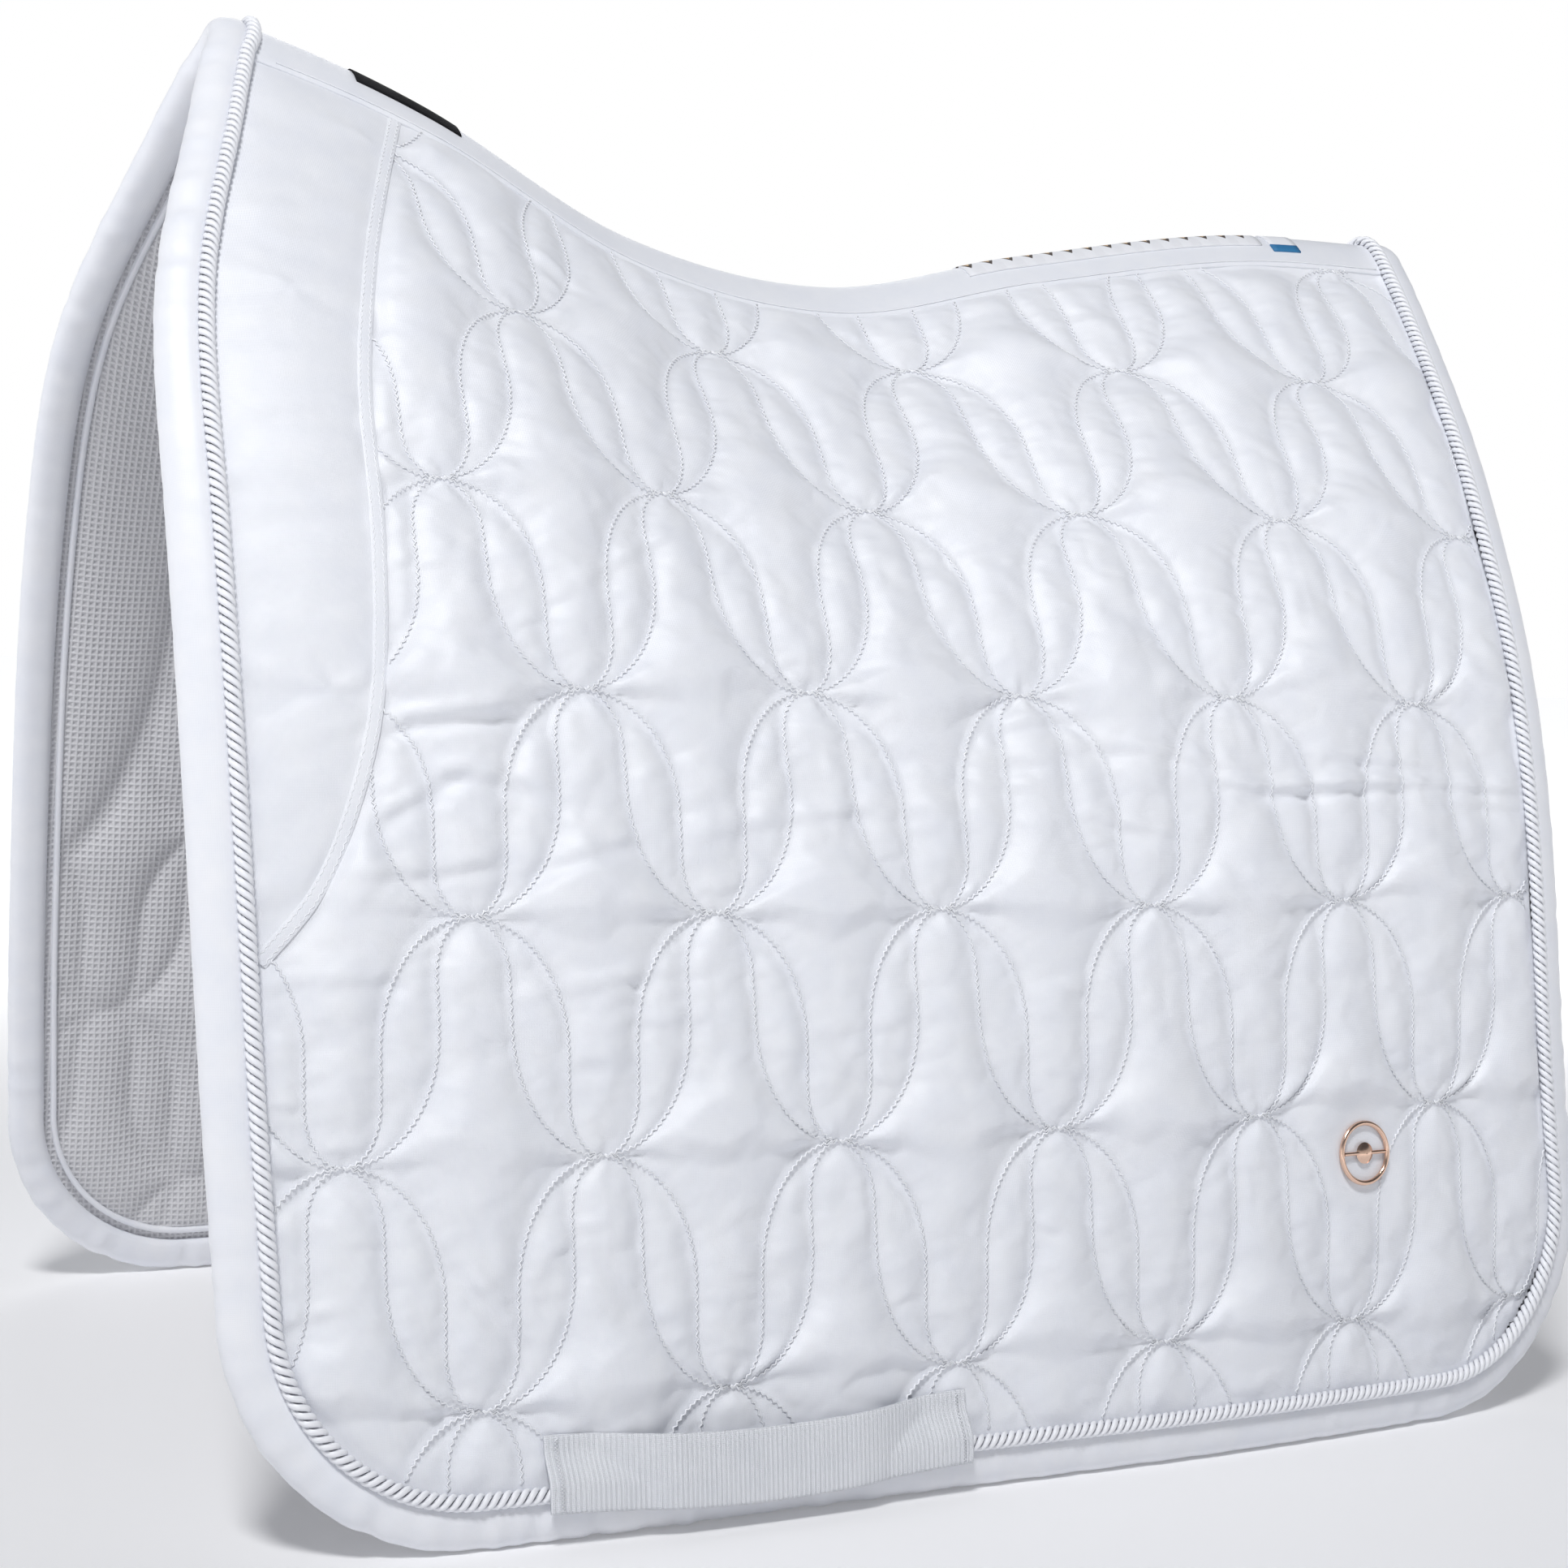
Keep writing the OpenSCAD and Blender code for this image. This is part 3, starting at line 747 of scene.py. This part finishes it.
# The creases that show most, left from its folding: x, h, half length, tilt in degrees, height.
CREASES = [
    (340, 306, 30, 13, 1.12), (323, 293, 27.5, 5, 0.96), (390, 290, 45, -4, 1.28),
    (443, 283, 30, -5, 1.44), (522, 272, 77.5, 2, 2.08), (510, 289, 37.5, 2, 1.44),
    (564, 271, 45, -12, 1.28), (380, 265, 22.5, -11, 1.28), (76, 301, 40, 11, 2.08),
    (67, 276, 22.5, 25, 1.28), (94, 280, 20, -11, 1.6), (72, 251, 32.5, 8, 1.28),
    (131, 251, 30, 9, 0.96), (90, 90, 27.5, -43, 1.28), (150, 203, 35, 3, 0.8),
    (40, 209, 27.5, 8, 0.96), (157, 525, 20, -40, 0.96), (446, 360, 22.5, -13, 0.96),
    (232, 262, 50, 3, 0.96), (260, 300, 32.5, -6, 0.8),
]
CREASE_WIDTH = 3.4
for x, h, half, tilt, height in CREASES:
    add_crease(pleats, x, h, half, math.radians(tilt), CREASE_WIDTH, height)
for _ in range(90):
    add_crease(
        folds, rng.uniform(0, 620), rng.uniform(40, 600), rng.uniform(12, 34), rng.normal(0, 0.2),
        rng.uniform(2.5, 5), rng.uniform(0.2, 0.7),
    )
# Short ones gathered in at the stitches.
for k in rng.integers(0, len(stitch_x), 420):
    way = rng.choice((-1, 1))
    add_crease(
        folds, stitch_x[k] + way * rng.uniform(5, 9), stitch_h[k], rng.uniform(5, 9), rng.normal(0, 0.25),
        rng.uniform(1.8, 3.0), rng.uniform(0.2, 0.6),
    )
raw = cloth_folds()
folds += np.clip(blurred(raw, 1.3) - blurred(raw, 7.0), -1.4, 1.4)
folds *= mix(1.0, 0.6, ease((H - 320) / 160))
folds = np.clip(folds, -1.6, 3.0)

# Small puckers across each line of stitches.
pucker = np.sin(run * 2 * np.pi / 7.3) + 0.6 * np.sin(run * 2 * np.pi / 4.4 + 1)
pucker = pucker * near * np.exp(-near / 3.5) * 0.10

# Broad level waves of the plain panel: height above the bottom edge, and how strong.
PANEL_WAVES = ((458, 0.45), (421, 0.5), (380, 0.3), (515, 0.3), (335, 0.25), (560, 0.2))
panel_waves = np.zeros(X.shape)
for h, height in PANEL_WAVES:
    panel_waves += height * step_across(H - h - 0.12 * X, 5.0) * ease((X - 5) / 15)

# ---- face: the quilted cloth and the plain front panel, as one surface d over the pattern ----

KNOT_D, OPEN_D = -1.9, 1.1      # stitched cloth at a knot and away from them
FACE_TOP = 7.4                  # and where it swells most
PANEL_D, PANEL_RISE = 0.4, 2.6
BADGE_D = 0.9


def strap_d(x, h):
    """Underside of the girth loop: down at its sewn ends, over the cord, and lifted between them."""
    near_end = np.minimum(x - STRAP_X, STRAP_X + STRAP_LEN - x) - STRAP_SEWN
    over_cord = CLOTH_T + 0.5 + (2 * CORD_R + 0.4 - CLOTH_T) * ease((CORD_LINE + 17 - h) / 15)
    return np.maximum(over_cord, STRAP_LIFT * ease(near_end / STRAP_RISE))


def face_surface():
    """Offset of the outer cloth over the whole pattern."""
    free = np.clip(hold / 2.5, 0, 1)
    through = mix(0.45, 1.0, free) * ease(-E / 12) * ease((S - BAND_W) / 12)
    through = through * ease(np.abs(P - SEAM_W / 2) / 10)
    ground = mix(OPEN_D, KNOT_D, np.minimum(knotted, 1))
    ground = np.maximum(ground, 0.7 - 1.7 * ease((S - BAND_W) / 9))
    ground = mix(-0.1, ground, ease((P - SEAM_W + 1) / 9))
    panel = PANEL_D + PANEL_RISE * soft**0.8 + (panel_waves + 0.35 * (folds + pleats)) * free
    quilt = ground + (FACE_TOP - 0.6 * ground) * soft**0.95 + (pucker + folds) * free + pleats * through
    d = np.where(P < SEAM_W / 2, panel, quilt)
    # Pressed down under the girth loop.
    strap_x = np.clip(X, STRAP_X, STRAP_X + STRAP_LEN)
    strap_h = np.clip(H, STRAP_H, STRAP_H + STRAP_W)
    from_strap = np.hypot(X - strap_x, H - strap_h)
    d = np.minimum(d, strap_d(strap_x, strap_h) - 0.5 + 0.7 * from_strap)
    return mix(BADGE_D, d, ease((from_badge - BADGE_R) / 22))


from_badge = np.hypot(X - BADGE_X, H - BADGE_H)
soft = blurred(swell, 0.75)
face_d = face_surface()
flat_uv = np.stack([X, H], -1)


def drape(d, where):
    """The pattern's grid at offset d, only worked out where it is used."""
    points = np.zeros((*X.shape, 3))
    points[where] = on_half(X[where], H[where], d[where])
    return points


inside = (E < 0.5) & (S > BAND_W - 4)
draped = drape(face_d, inside)
quilts = pair(
    "quilted_face", draped, cut(inside & (P > SEAM_W / 2 - 1.6)), satin,
    ["SIDE_face", "SIDE_wadding"], uv=flat_uv,
)
panels = pair(
    "front_panel_cloth", draped, cut(inside & (P < SEAM_W / 2 + 1.6) & (H > 205)), satin,
    ["SIDE_front_panel"], uv=flat_uv,
)

# ---- lining: the quilting from behind, in a waffle weave ----

LINING_SEAM, LINING_PUFF = -6.8, 7.8    # its stitched lines, and how far it swells between them
LINING_RIB = 0.5
WASHER_D = -10.0                        # where it lies flat round the badge's washer

on_rib = (np.arange(len(gx)) % 2 == 0)[None, :] | (np.arange(len(gh)) % 2 == 0)[:, None]
lining_d = LINING_SEAM - LINING_PUFF * soft**0.85 * ease((S - BAND_W + 6) / 42) - LINING_RIB * on_rib
lining_d = mix(WASHER_D, lining_d, ease((from_badge - 17.5) / 8))
inside = (E < 6) & (S > BAND_W - 2)
linings = pair(
    "quilted_lining", drape(lining_d, inside), cut(inside)[:, ::-1], waffle,
    ["SIDE_lining"], uv=flat_uv,
)

# ---- the edge: one path round each half, from the ridge at the front to the ridge at the rear ----


def front_line(s):
    """Where the cord's line crosses the band in front, s from the ridge."""
    return mix(FRONT_PEAK, float(curve(FRONT, FRONT_TOP)), (s / BAND_W) ** 2)


def rear_line(s):
    """The same at the rear."""
    return mix(float(curve(REAR, REAR_PEAK_H)), float(curve(REAR, REAR_TOP)), (s / BAND_W) ** 2)


def edge_path():
    """Rows of base x, base h, way x, way h, arc length s, and 1 where the line is on the band."""
    s = np.linspace(0, HALF_TOP, 30)[:-1]
    s_b = s[::-1]
    front_x, rear_x = front_line(s), rear_line(s_b)
    h = np.linspace(FRONT_TOP, CORNER_TOP, 300)[:-1]
    a = np.radians(np.linspace(0, 90, 90))[:-1]
    bx = np.linspace(FRONT_TURN, REAR_TURN, 300)[:-1]
    hb = np.linspace(CORNER_TOP, REAR_TOP, 300)
    one, zero = np.ones_like, np.zeros_like
    rows = [
        (front_x, ridge(front_x) - s, -one(s), zero(s), s, one(s)),
        (curve(FRONT, h), h, -one(h), zero(h), zero(h), zero(h)),
        (
            FRONT_TURN - CORNER_R * np.cos(a), CORNER_TOP - CORNER_R * np.sin(a),
            -np.cos(a), -np.sin(a), zero(a), zero(a),
        ),
        (bx, CORD_LINE + zero(bx), zero(bx), -one(bx), zero(bx), zero(bx)),
        (
            REAR_TURN + CORNER_R * np.sin(a), CORNER_TOP - CORNER_R * np.cos(a),
            np.sin(a), -np.cos(a), zero(a), zero(a),
        ),
        (curve(REAR, hb), hb, one(hb), zero(hb), zero(hb), zero(hb)),
        (rear_x, ridge(rear_x) - s_b, one(s), zero(s), s_b, one(s)),
    ]
    path = np.concatenate([np.stack(row, -1) for row in rows])
    path[:, 4] = np.where(path[:, 5] > 0.5, path[:, 4], ridge(path[:, 0]) - path[:, 1])
    return path


def edge_points(path, e, d):
    """Points at e out from the cord's line and d square to the cloth."""
    x = path[:, 0] + e * path[:, 2]
    h = path[:, 1] + e * path[:, 3]
    s = np.where(path[:, 5] > 0.5, path[:, 4], ridge(x) - h)
    return on_arc(x, s, d)


def even_path(step):
    """The edge's path in steps of one length, and how far along it each row is."""
    path = edge_path()
    c = edge_points(path, 0.0, 0.0)
    length = np.concatenate([[0], np.cumsum(np.linalg.norm(np.diff(c, axis=0), axis=1))])
    at = np.linspace(0, length[-1], int(length[-1] / step) + 1)
    return np.stack([np.interp(at, length, path[:, k]) for k in range(6)], -1), at


BINDING_SIDES = 28
BINDING_TURN = 1.12     # how far it is folded round, in half circles
BINDING_FROM = 1.6      # where it comes out beside the cord


def gathers(path, at):
    """Random small gathers along the binding, stronger low down."""
    gather = np.zeros(len(at))
    for _ in range(40):
        wave = rng.uniform(9, 34)
        gather += rng.normal(0, 0.10) * np.sin(at * 2 * np.pi / wave + rng.uniform(0, 6.3))
    return gather * ((0.6 + 0.4 * np.sin(at / 90.0)) * mix(1.1, 0.35, ease(path[:, 1] / 350)))


def make_binding(path, at):
    """A padded roll with small gathers, folded round to the inside."""
    quarter = np.pi / 2
    angle = np.linspace(-1, 1, BINDING_SIDES) * quarter * BINDING_TURN
    round_part = np.clip(angle, -quarter, quarter)
    full = np.cos(round_part) ** 0.66
    be = BINDING_FROM + (BINDING_W - BINDING_FROM) * full
    tuck = np.maximum(np.abs(angle) - quarter, 0) / (quarter * (BINDING_TURN - 1))
    bd = BINDING_MID + BINDING_T / 2 * np.sin(round_part) - np.sign(angle) * 4.5 * tuck
    gather = gathers(path, at)
    rings = []
    for k in range(BINDING_SIDES):
        skew = 0.5 * np.sin(at / 13.0 + angle[k] * 1.5) * np.abs(gather)
        bulge = (gather + skew) * math.cos(min(abs(angle[k]), math.pi / 2)) ** 0.3
        rings.append(edge_points(path, be[k] + 0.5 * bulge * full[k], bd[k] + bulge * math.sin(angle[k])))
    skin = np.stack(rings, 1)
    rolls = pair(
        "binding_roll", skin, grid_quads(*skin.shape[:2]), edging,
        ["SIDE_binding", "front_spine_binding", "rear_spine_binding"], how="blend",
        uv=flat_map(at[:, None], np.linspace(0, 45, BINDING_SIDES)[None, :]),
    )


# Cross-section of the tape: out from the cord's line, and off the lining.
TAPE = ((-2.0, 4.0), (-2.2, 0.4), (-2.7, -0.3), (-4.3, -0.3), (-4.9, 0.2), (-5.1, 3.6))
TAPE_GATHER = 3.2


def make_lining_tape(path, at):
    """A narrow gathered tape that covers the lining's edge, just inside the binding."""
    gather = 0.22 * np.sin(at * 2 * np.pi / TAPE_GATHER)
    skin = np.stack([edge_points(path, e, LINING_D + lift + gather) for e, lift in TAPE], 1)
    pair(
        "lining_tape", skin, grid_quads(*skin.shape[:2])[:, ::-1], edging, how="blend",
        uv=flat_map(at[:, None], np.arange(len(TAPE))[None, :] * 0.9),
    )


STRANDS, LAY = 3, 10.6  # the cord's strands, and the length of one turn
STRAND_R = 1.22
YARN_SIDES = 12
CORD_D = CORD_R + 0.2   # middle of the cord


def make_cords():
    """Three strands laid round each other, ribbed with yarns."""
    path, at = even_path(0.85)
    middle = edge_points(path, 0.0, CORD_D)
    out_way = unit(edge_points(path, 1.0, CORD_D) - middle)
    up_way = unit(edge_points(path, 0.0, CORD_D + 1) - middle)
    helix_r = CORD_R - STRAND_R
    for side, way in SIDES:
        c, o, n = (v * (1, way, 1) for v in (middle, out_way, up_way))
        centres = []
        for k in range(STRANDS):
            phase = (way * (at * 2 * np.pi / LAY + k * 2 * np.pi / STRANDS))[:, None]
            centres.append(c + helix_r * (np.cos(phase) * o + np.sin(phase) * n))
        frames = [square_frames(s, n) for s in centres]
        points, quads = tubes(centres, frames, STRAND_R, YARN_SIDES, ribbed=0.09)
        axis = np.tile(np.repeat(c, YARN_SIDES, 0), (STRANDS, 1))
        along = np.tile(np.repeat(at, YARN_SIDES), STRANDS)
        uv = np.stack([along, np.linalg.norm(points - axis, axis=-1)], -1)
        cord = build(f"{side}_twisted_cord", points, quads, cord_with_painted_shade, uv)
        place(cord, side, "blend")
        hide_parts(f"{side}_cord", "front_spine_cord", "rear_spine_cord")


path, at = even_path(1.6)
make_binding(path, at)
make_lining_tape(path, at)
make_cords()

# ---- stitches ----

THREAD_R = 0.3          # of the thread along the band and across the girth loop's ends
THREAD_SIDES = 4


def thread_run(x, h, d):
    """Centre line of a thread at offset d, and its frames."""
    c = on_half(x, h, d)
    return c, square_frames(c, unit(on_half(x, h, d + 1) - c))


def stitch_tubes(paths, pitch, sway, lift, radius, surface):
    """Thread along flat lines, swaying by so much to either side at each stitch."""
    centres, frames = [], []
    for x, h in paths:
        x, h = resample(x, h, pitch / 2)
        if len(x) < 4:
            continue
        tx, th = np.gradient(x), np.gradient(h)
        size = np.hypot(tx, th)
        zig = np.where(np.arange(len(x)) % 2 == 0, sway, -sway)
        x, h = x - th / size * zig, h + tx / size * zig
        c, turns = thread_run(x, h, read(surface, x, h) + lift)
        centres.append(c)
        frames.append(turns)
    return tubes(centres, frames, radius, THREAD_SIDES)


points, quads = stitch_tubes(quilting, pitch=2.7, sway=0.55, lift=0.28, radius=0.42, surface=face_d)
pair("quilt_stitches", points, quads, thread)

# ---- front panel seam: a narrow strip, sewn down along both edges ----

SEAM_TOP = 0.72         # where its stitches lie
SEAM_STITCH_IN = 0.9    # how far they are from its edges


def make_seam():
    h = np.linspace(PANEL[0][0], 600, 400)
    x = curve(PANEL, h)
    keep = ridge(x) - h > BAND_W - 3
    x, h = resample(x[keep], h[keep], 1.5)
    tx, th = unit(np.stack([np.gradient(x), np.gradient(h)], -1)).T
    across = np.linspace(-0.4, SEAM_W + 0.4, 13)
    arch = np.sin(np.linspace(0, np.pi, 13)) ** 0.5
    strip_x = x[:, None] + th[:, None] * across[None, :]
    strip_h = h[:, None] - tx[:, None] * across[None, :]
    skin = on_half(strip_x, strip_h, np.broadcast_to(0.4 + 0.4 * arch[None, :], strip_x.shape))
    pair(
        "panel_seam_strip", skin, grid_quads(*skin.shape[:2])[:, ::-1], satin,
        ["SIDE_panel_piping"], uv=np.stack([strip_x, strip_h], -1),
    )
    lines = [(x + th * k, h - tx * k) for k in (SEAM_STITCH_IN, SEAM_W - SEAM_STITCH_IN)]
    level = np.full(X.shape, SEAM_TOP)
    points, quads = stitch_tubes(lines, pitch=3.0, sway=0.35, lift=0.0, radius=0.25, surface=level)
    pair("seam_stitches", points, quads, thread)


make_seam()

# ---- spine band, tape and labels, each split along the ridge into a piece for each half ----

BAND_ROWS = 186
BAND_CLEAR = 2.0        # how far its ends stay from the cord's line


def band_strip(stem, s, d, replaces, outward):
    """A strip along the pad, whose cross-section is the given s and d."""
    u = np.linspace(0, 1, BAND_ROWS)[:, None]
    x = mix(front_line(s)[None, :] + BAND_CLEAR, rear_line(s)[None, :] - BAND_CLEAR, u)
    skin = on_arc(x, s[None, :], np.broadcast_to(d, x.shape))
    quads = grid_quads(*skin.shape[:2])
    return pair(
        stem, skin, quads[:, ::-1] if outward else quads, satin, replaces, how="blend",
        uv=flat_map(x, s[None, :]),
    )


s = np.concatenate([np.linspace(0, 9, 10), np.linspace(10, BAND_W + 0.6, 14), [BAND_W + 0.9] * 2])
d = np.full(len(s), BAND_D)
d[-5:] = (1.85, 1.6, 1.2, 0.9, -0.2)
for piece in band_strip("spine_band_cloth", s, d, ["spine_band", "spine_core"], outward=True):
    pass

s = np.linspace(0, BAND_W + 2, 20)
d = np.full(len(s), LINING_D - 1.2)
d[-2:] = (LINING_D - 0.9, LINING_D + 1)
for piece in band_strip("spine_tape_cloth", s, d, ["spine_tape"], outward=False):
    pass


def make_band_stitches():
    """A row of thread along the band's edge."""
    x = np.arange(50, 616, 1.5)
    s = BAND_W - 1.6
    c = on_arc(x, s, BAND_D + 0.1)
    n = unit(on_arc(x, s, BAND_D + 1.1) - c)
    points, quads = tubes([c], [square_frames(c, n)], THREAD_R, THREAD_SIDES)
    pair("spine_band_stitches", points, quads, thread, how="blend")


def label(stem, x_from, x_to, half_w, thick, material):
    """A woven label laid over the ridge; it stands for the CAD node of the same name."""
    rows = max(6, int((x_to - x_from) / 3))
    s, x = np.meshgrid(np.linspace(0, half_w, 12), np.linspace(x_from, x_to, rows))
    points, quads = slab(on_arc(x, s, BAND_D + 0.1 + thick), on_arc(x, s, BAND_D - 0.05))
    uv = np.stack([x, s], -1).reshape(-1, 2)
    pair(stem, points, quads[:, ::-1], material, [stem], how="blend", uv=np.concatenate([uv, uv]))


make_band_stitches()
label("withers_label", 87, 134, half_w=13.5, thick=0.8, material=black)
label("back_label", 387, 552, half_w=13, thick=0.6, material=motif)
label("size_tag", 557, 573, half_w=17.5, thick=0.6, material=blue)

# ---- girth loop ----

STRAP_T = 1.5
STRAP_SAG = 4.5
STRAP_RIB, STRAP_RIB_PITCH = 0.2, 2.0


def make_strap():
    """Ribbed webbing that hangs in a shallow curve between its sewn ends."""
    x, w = np.meshgrid(np.arange(STRAP_X, STRAP_X + STRAP_LEN + 0.1, 0.35), np.linspace(0, 1, 22))
    sag = STRAP_SAG * np.sin(np.pi * np.clip((x - STRAP_X) / STRAP_LEN, 0, 1)) ** 1.5
    h = STRAP_H + STRAP_W * w - sag
    rib = STRAP_RIB * np.cos(x * 2 * np.pi / STRAP_RIB_PITCH)
    rounding = -0.5 * (np.abs(2 * w - 1) ** 12)
    base = strap_d(x, h + sag)
    points, quads = slab(on_half(x, h, base + STRAP_T + rib + rounding), on_half(x, h, base))
    uv = np.stack([x, h], -1).reshape(-1, 2)
    straps = pair(
        "girth_loop_webbing", points, quads, webbing, ["SIDE_girth_strap"],
        uv=np.concatenate([uv, uv]),
    )


def make_strap_stitches():
    """A row of zigzag stitches across each sewn end."""
    h = np.linspace(STRAP_H + 1.5, STRAP_H + STRAP_W - 1.5, 40)
    zig = np.where(np.arange(len(h)) % 2, 0.5, -0.5)
    centres, frames = [], []
    for k in (STRAP_SEWN / 2, STRAP_LEN - STRAP_SEWN / 2):
        x = STRAP_X + k + zig
        c, turns = thread_run(x, h, strap_d(x, h) + STRAP_T + 0.25)
        centres.append(c)
        frames.append(turns)
    points, quads = tubes(centres, frames, THREAD_R, THREAD_SIDES)
    pair("strap_stitching", points, quads, thread, ["SIDE_strap_tacks"])


make_strap()
make_strap_stitches()

# ---- badge, kept from the CAD ----

for name in ("badge_ring", "badge_emblem", "badge_prongs", "badge_washer"):
    nodes[name].data.materials.clear()
    nodes[name].data.materials.append(steel if name == "badge_washer" else rose_gold)

# ---- floor and light ----

FLOOR_REACH = 12.0


def make_floor():
    """A pale floor that glows more with distance, so that it fades into the background."""
    paint, n, link, shader = tree("floor")
    set_inputs(shader, Roughness=0.9, Emission_Color=(1, 1, 1, 1))
    spot = n.new("ShaderNodeTexCoord")
    reach = n.new("ShaderNodeVectorMath")
    reach.operation = "LENGTH"
    glow = n.new("ShaderNodeMapRange")
    glow.interpolation_type = "SMOOTHSTEP"
    set_inputs(glow, From_Min=0.5, From_Max=1.9, To_Min=0.1, To_Max=0.8)
    grain = n.new("ShaderNodeTexNoise")
    set_inputs(grain, Scale=3.0)
    tone = colour_ramp(n, [(0.0, (0.84, 0.84, 0.855)), (1.0, (0.86, 0.86, 0.875))])
    link.new(spot.outputs["Object"], reach.inputs[0])
    link.new(reach.outputs["Value"], glow.inputs["Value"])
    link.new(glow.outputs["Result"], shader.inputs["Emission Strength"])
    link.new(spot.outputs["Object"], grain.inputs["Vector"])
    link.new(grain.outputs["Fac"], tone.inputs["Fac"])
    link.new(tone.outputs["Color"], shader.inputs["Base Color"])
    r = FLOOR_REACH
    mesh = bpy.data.meshes.new("floor")
    mesh.from_pydata([(-r, -r, 0), (r, -r, 0), (r, r, 0), (-r, r, 0)], [], [(0, 1, 2, 3)])
    mesh.materials.append(paint)
    floor = bpy.data.objects.new("floor", mesh)
    floor.location.z = -0.0004
    scene.collection.objects.link(floor)


def make_sky():
    """Light from all round: white low down, dim above, weaker from the near side behind."""
    world = bpy.data.worlds.new("studio")
    world.use_nodes = True
    n, link = world.node_tree.nodes, world.node_tree.links
    background = n["Background"]
    sky = n.new("ShaderNodeTexCoord")
    split = n.new("ShaderNodeSeparateXYZ")
    white = (1.0, 1.0, 1.0)
    band = colour_ramp(n, [(0.0, white), (0.225, white), (0.34, (0.15, 0.16, 0.18))])
    towards = n.new("ShaderNodeVectorMath")
    towards.operation = "DOT_PRODUCT"
    towards.inputs[1].default_value = (-0.7, 0.7, 0)
    strength = n.new("ShaderNodeMapRange")
    strength.interpolation_type = "SMOOTHSTEP"
    set_inputs(strength, From_Min=-0.8, From_Max=0.0, To_Min=0.5, To_Max=1.0)
    link.new(sky.outputs["Generated"], split.inputs["Vector"])
    link.new(split.outputs["Z"], band.inputs["Fac"])
    link.new(sky.outputs["Generated"], towards.inputs[0])
    link.new(towards.outputs["Value"], strength.inputs["Value"])
    link.new(strength.outputs["Result"], background.inputs["Strength"])
    link.new(band.outputs["Color"], background.inputs["Color"])
    scene.world = world


def area_light(name, at, towards, size, power):
    light = bpy.data.lights.new(name, "AREA")
    light.shape = "DISK"
    light.size = size
    light.energy = power
    obj = bpy.data.objects.new(name, light)
    obj.location = at
    obj.rotation_euler = (Vector(towards) - Vector(at)).to_track_quat("-Z", "Y").to_euler()
    scene.collection.objects.link(obj)


make_floor()
make_sky()
area_light("key", (-1.6, -2.2, 4.3), (0, 0, 0.3), size=1.0, power=146)
area_light("rear", (0.6, 2.2, 2.0), (0, 0, 0.3), size=1.6, power=13)
